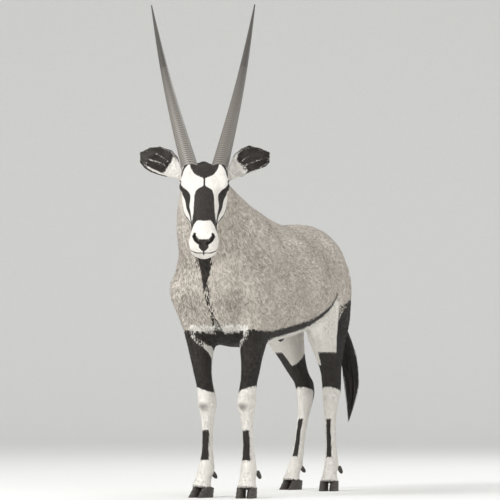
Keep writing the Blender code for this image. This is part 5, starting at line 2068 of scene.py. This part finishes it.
@dataclass
class Feet(Drawn):
    """Cloven hooves with their dewclaws.

    Args:
        height: of the hoof's wall.
        length: of the sole.
        width: of one claw.
        cleft: between the claws.
        slope: of the coronet.
        toe_out: how far the feet point outwards.
        places: middle of each foot, sideways and back.
        dewclaw_radius: of a dewclaw.
        dewclaw_length: of a dewclaw.
        dewclaw_side: from the leg's middle.
        dewclaw_places: back and up.
    """

    height: float = 0.043
    length: float = 0.096
    width: float = 0.039
    cleft: float = 0.005
    slope: float = math.radians(12.0)
    toe_out: float = math.radians(12.0)
    dewclaw_radius: float = 0.0105
    dewclaw_length: float = 0.032
    dewclaw_side: float = 0.021

    places = {Limb.FRONT: (0.098, -0.474), Limb.HIND: (0.107, 0.44)}
    dewclaw_places = {Limb.FRONT: (-0.401, 0.098), Limb.HIND: (0.517, 0.096)}

    def middle(self, limb: Limb, side: Side) -> Array:
        """Place a foot."""
        x, y = self.places[limb]
        return np.array((side.value * x, y + self.step(limb, side), 0.0))

    def step(self, limb: Limb, side: Side) -> float:
        """Tell how far a foot is set back."""
        return self.plan.hind_step if limb is Limb.HIND and side is Side.RIGHT else 0.0

    def turn(self, side: Side) -> Array:
        """Turn a foot outwards.

        Args:
            side: left or right.

        Returns:
            The turn about the upright, for columns.
        """
        angle = side.value * self.toe_out
        cos, sin = math.cos(angle), math.sin(angle)
        return np.array(((cos, -sin, 0), (sin, cos, 0), (0, 0, 1.0)))

    def coronet(self, limb: Limb, side: Side) -> tuple[Array, Array]:
        """Place the hoof's upper rim."""
        up = self.turn(side) @ np.array((0, math.sin(self.slope), math.cos(self.slope)))
        return self.middle(limb, side) + (0, 0, self.height), up

    def claw(self, limb: Limb, side: Side, half: int) -> Surface:
        """Draw half a hoof.

        Args:
            limb: front or hind.
            side: left or right.
            half: 1 for the claw towards +X, -1 for the other.

        Returns:
            Outlines from the sole to the coronet, which shrink and lean back with height, with growth lines as
            shallow waves in the height.
        """
        level = np.concatenate(([0.0, 0.0004, 0.0012], np.linspace(0.0025, 1.0, 46)))[:, None]
        angle = np.linspace(0, 2 * np.pi, 80, endpoint=False)[None]
        across, ahead = np.cos(angle), np.sin(angle)
        x = self.width / 2 * np.sign(across) * np.abs(across) ** 0.8
        y = -self.length / 2 * np.sign(ahead) * np.abs(ahead) ** 0.9
        x = np.where(y < 0, x * (1 - 0.3 * (y / (self.length / 2)) ** 2), x)
        rim = self.height + y * 0.62 * math.tan(self.slope) * -1
        z = level * (rim - 0.0008)
        wave = 0.00035 * np.sin(z / 0.0026 + 0.6 * np.sin(2 * angle)) * np.clip(level * 6, 0, 1)
        shrink = 1 - 0.1 * z / 0.05 - 0.014 + wave / (self.width / 2) - 0.03 * np.clip(1 - z / 0.002, 0, 1)
        lean = z * 0.8 * (0.5 - y / self.length) + z * 0.25 * (0.5 + y / self.length)
        spread = half * (self.cleft / 2 + self.width / 2)
        local = np.stack((x * shrink + spread, y * shrink + lean, z + 0 * x), axis=-1)
        return Surface.tube(self.middle(limb, side) + local @ self.turn(side).T)

    def dewclaw(self, limb: Limb, side: Side, half: int) -> Surface:
        """Draw a small blunt nub.

        Args:
            limb: front or hind.
            side: left or right.
            half: 1 for the nub towards +X, -1 for the other.

        Returns:
            Round outlines that close in a blunt end.
        """
        back, height = self.dewclaw_places[limb]
        foot = np.array((self.middle(limb, side)[0] + half * self.dewclaw_side, back + self.step(limb, side), height))
        way = unit(self.turn(side) @ np.array((half * 0.25, 0.62, -0.72)))
        across = unit(np.cross(way, (0.3, 0.2, 1.0)))
        over = np.cross(way, across)
        reach = np.linspace(-0.15, 0.985, 26)
        size = np.clip(1 - np.clip(reach, 0, 1) ** 3.4, 0, 1) ** 0.5 * (0.97 + 0.02 * np.sin(reach * 40))
        radius = self.dewclaw_radius * np.maximum(size, 0.08) * 0.97
        middle = foot + way * (reach * self.dewclaw_length)[:, None]
        return Surface.tube(outlines(middle, across, over, radius * 0.8, radius, radius, 2.0, 2.0, 28))

    def build(self, finish: Material) -> list[Object]:
        """Make all the claws.

        Args:
            finish: their material.

        Returns:
            The finished pieces.
        """
        made = []
        for limb in Limb:
            for side in Side:
                for half in (1, -1):
                    which = "outer" if half == side.value else "inner"
                    ending = f"{limb.value}_{side.name.lower()}_{which}"
                    for kind, draw in (("hoof", self.claw), ("dewclaw", self.dewclaw)):
                        thing = finished(f"{kind}_{ending}_horn", draw(limb, side, half), finish)
                        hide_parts(f"{kind}_{ending}")
                        made.append(thing)
        return made


def horn_material() -> Material:
    """Make ringed horn, with a painted highlight that makes the crests of the rings paler.

    Returns:
        The material.
    """
    finish = PlainFinish("ringed_horn", "#35322F", "#57534E", 0.4, 0.004, (1.0, 1.0, 0.12), 0.0003)
    made, tree, shader = new_material(finish.name)
    place = add_node(tree, "ShaderNodeTexCoord")
    drawn = add_node(tree, "ShaderNodeMapping", {"Vector": place.outputs["Object"], "Scale": finish.stretch})
    grain = add_node(tree, "ShaderNodeTexNoise", {"Vector": drawn.outputs[0], "Scale": 1 / finish.grain, "Detail": 4.0})
    ridge = add_node(tree, "ShaderNodeAttribute", attribute_name="ridge")
    mixed = add_node(tree, "ShaderNodeMix", {"Factor": grain.outputs[0], "A": linear(finish.colour),
                                             "B": linear(finish.second)}, data_type="RGBA")
    # Painted highlight: the crests of the rings are mixed towards pale grey by their height.
    pale = add_node(tree, "ShaderNodeMath", {0: ridge.outputs["Fac"], 1: 0.85}, operation="MULTIPLY")
    ridge_highlight = add_node(tree, "ShaderNodeMix", {"Factor": pale.outputs[0], "A": mixed.outputs[2],
                                            "B": linear("#9C968D")}, data_type="RGBA")
    return finish_shader(made, tree, shader, ridge_highlight.outputs[2], grain.outputs[0], finish)


def eye_material() -> Material:
    """Make a wet dark eye.

    Returns:
        The material.
    """
    made, tree, shader = new_material("wet_eye")
    iris = add_node(tree, "ShaderNodeAttribute", attribute_name="iris")
    pupil = add_node(tree, "ShaderNodeAttribute", attribute_name="pupil")
    rim = add_node(tree, "ShaderNodeMapRange", {"Value": iris.outputs["Fac"], "From Min": 0.0115, "From Max": 0.0135})
    hole = add_node(tree, "ShaderNodeMapRange", {"Value": pupil.outputs["Fac"], "From Min": 0.9, "From Max": 1.1})
    brown = add_node(tree, "ShaderNodeMix", {"Factor": hole.outputs[0], "A": linear("#050403"),
                                             "B": linear("#2E1C10")}, data_type="RGBA")
    whole = add_node(tree, "ShaderNodeMix", {"Factor": rim.outputs[0], "A": brown.outputs[2],
                                             "B": linear("#1A120C")}, data_type="RGBA")
    tree.links.new(whole.outputs[2], shader.inputs["Base Color"])
    shader.inputs["Roughness"].default_value = 0.06
    shader.inputs["Coat Weight"].default_value = 1.0
    shader.inputs["Coat Roughness"].default_value = 0.02
    return made


@dataclass
class Studio:
    """A pale floor that sweeps up behind, soft lights and the photo's view.

    Args:
        azimuth: the camera's place round the animal.
        distance: from the animal's own origin.
        height: of the camera.
        offset: how far the camera stands to its own right.
        tilt: how far it looks up.
        lens: focal length on a 36 mm sensor.
    """

    azimuth: float = math.radians(22.0)
    distance: float = 11.39
    height: float = 0.4
    offset: float = -0.071
    tilt: float = math.atan2(147, 2750)
    lens: float = 198.0

    def floor(self) -> Object:
        """Lay the floor.

        Returns:
            The stage piece.
        """
        angle = np.linspace(0, np.pi / 2, 24)
        run = np.concatenate(([-30.0], 14 + 5 * np.sin(angle), [19.0]))
        rise = np.concatenate(([0.0], 5 - 5 * np.cos(angle), [24.0]))
        across = np.array((-40.0, 40.0))
        way = np.array((math.sin(self.azimuth), -math.cos(self.azimuth), 0.0))
        side = np.array((math.cos(self.azimuth), math.sin(self.azimuth), 0.0))
        grid = (-way * run[:, None])[:, None] + side * across[None, :, None] + UP * rise[:, None, None]
        number = np.arange(len(run) * 2).reshape(-1, 2)
        quads = np.stack((number[:-1, 0], number[:-1, 1], number[1:, 1], number[1:, 0]), axis=-1)
        finish = plain_material(PlainFinish("studio_floor", "#E9E9E7", "#E6E6E4", 0.9, 0.02, relief=0.0))
        made = add_piece("floor", Surface(grid.reshape(-1, 3), [quads]).mesh("floor"), finish)
        return made

    def lights(self) -> None:
        """Set the lamps and the room's own light."""
        for name, place, energy, size in (("key", (-2.6, -5.2, 5.0), 330.0, 3.0), ("fill", (5.5, -4.2, 3.2), 90.0, 4.5),
                                          ("back", (1.5, 5.5, 5.5), 140.0, 4.0)):
            lamp = bpy.data.lights.new(name, "AREA")
            lamp.energy, lamp.size, lamp.shape = energy, size, "DISK"
            made = bpy.data.objects.new(name, lamp)
            bpy.context.scene.collection.objects.link(made)
            made.location = place
            made.rotation_euler = (Vector((0, 0, 0.9)) - Vector(place)).to_track_quat("-Z", "Y").to_euler()
        room = bpy.data.worlds.new("room")
        room.use_nodes = True
        room.node_tree.nodes["Background"].inputs["Color"].default_value = linear("#FFFFFF")
        room.node_tree.nodes["Background"].inputs["Strength"].default_value = 0.75
        bpy.context.scene.world = room

    def camera(self) -> None:
        """Place the camera where the picture was drawn from."""
        toward = np.array((math.sin(self.azimuth), -math.cos(self.azimuth), 0.0))
        right = np.array((math.cos(self.azimuth), math.sin(self.azimuth), 0.0))
        place = SHIFT + toward * self.distance + right * self.offset + np.array((0, 0, self.height))
        lens = bpy.data.cameras.new("view")
        lens.lens, lens.sensor_width = self.lens, 36.0
        lens.clip_start, lens.clip_end = 0.5, 80.0
        made = bpy.data.objects.new("view", lens)
        bpy.context.scene.collection.objects.link(made)
        look = -toward * math.cos(self.tilt) + np.array((0, 0, math.sin(self.tilt)))
        made.location = place.tolist()
        made.rotation_euler = Vector(look.tolist()).to_track_quat("-Z", "Y").to_euler()
        bpy.context.scene.camera = made

    def build(self) -> None:
        """Set up the studio."""
        self.floor()
        self.lights()
        self.camera()
        bpy.context.scene.view_settings.view_transform = "Standard"


def main() -> None:
    """Build the animal and its studio."""
    plan = BodyPlan()
    marks, lie, feet = Marks(plan), Lie(plan), Feet(plan)
    finish = CoatFinish()
    skin_finish, tuft_finish = coat_material(finish, False), coat_material(finish, True)
    skin = Skin(plan, Face(plan), marks, lie).build(feet, skin_finish)
    Coat(plan, marks, lie, count=120_000).build(skin, tuft_finish)
    Mane(plan, lie).build(tuft_finish)
    Tail(plan).build(tuft_finish)
    horn_finish, eye_finish = horn_material(), eye_material()
    for side in Side:
        Horn(plan, side).build(horn_finish)
        Eye(plan, side).build(eye_finish)
    hoof_finish = plain_material(PlainFinish("hoof_horn", "#2E2A27", "#4A443E", 0.5, 0.006, (1, 1, 3.0), 0.0003))
    feet.build(hoof_finish)
    Studio().build()


if __name__ == "__main__":
    main()
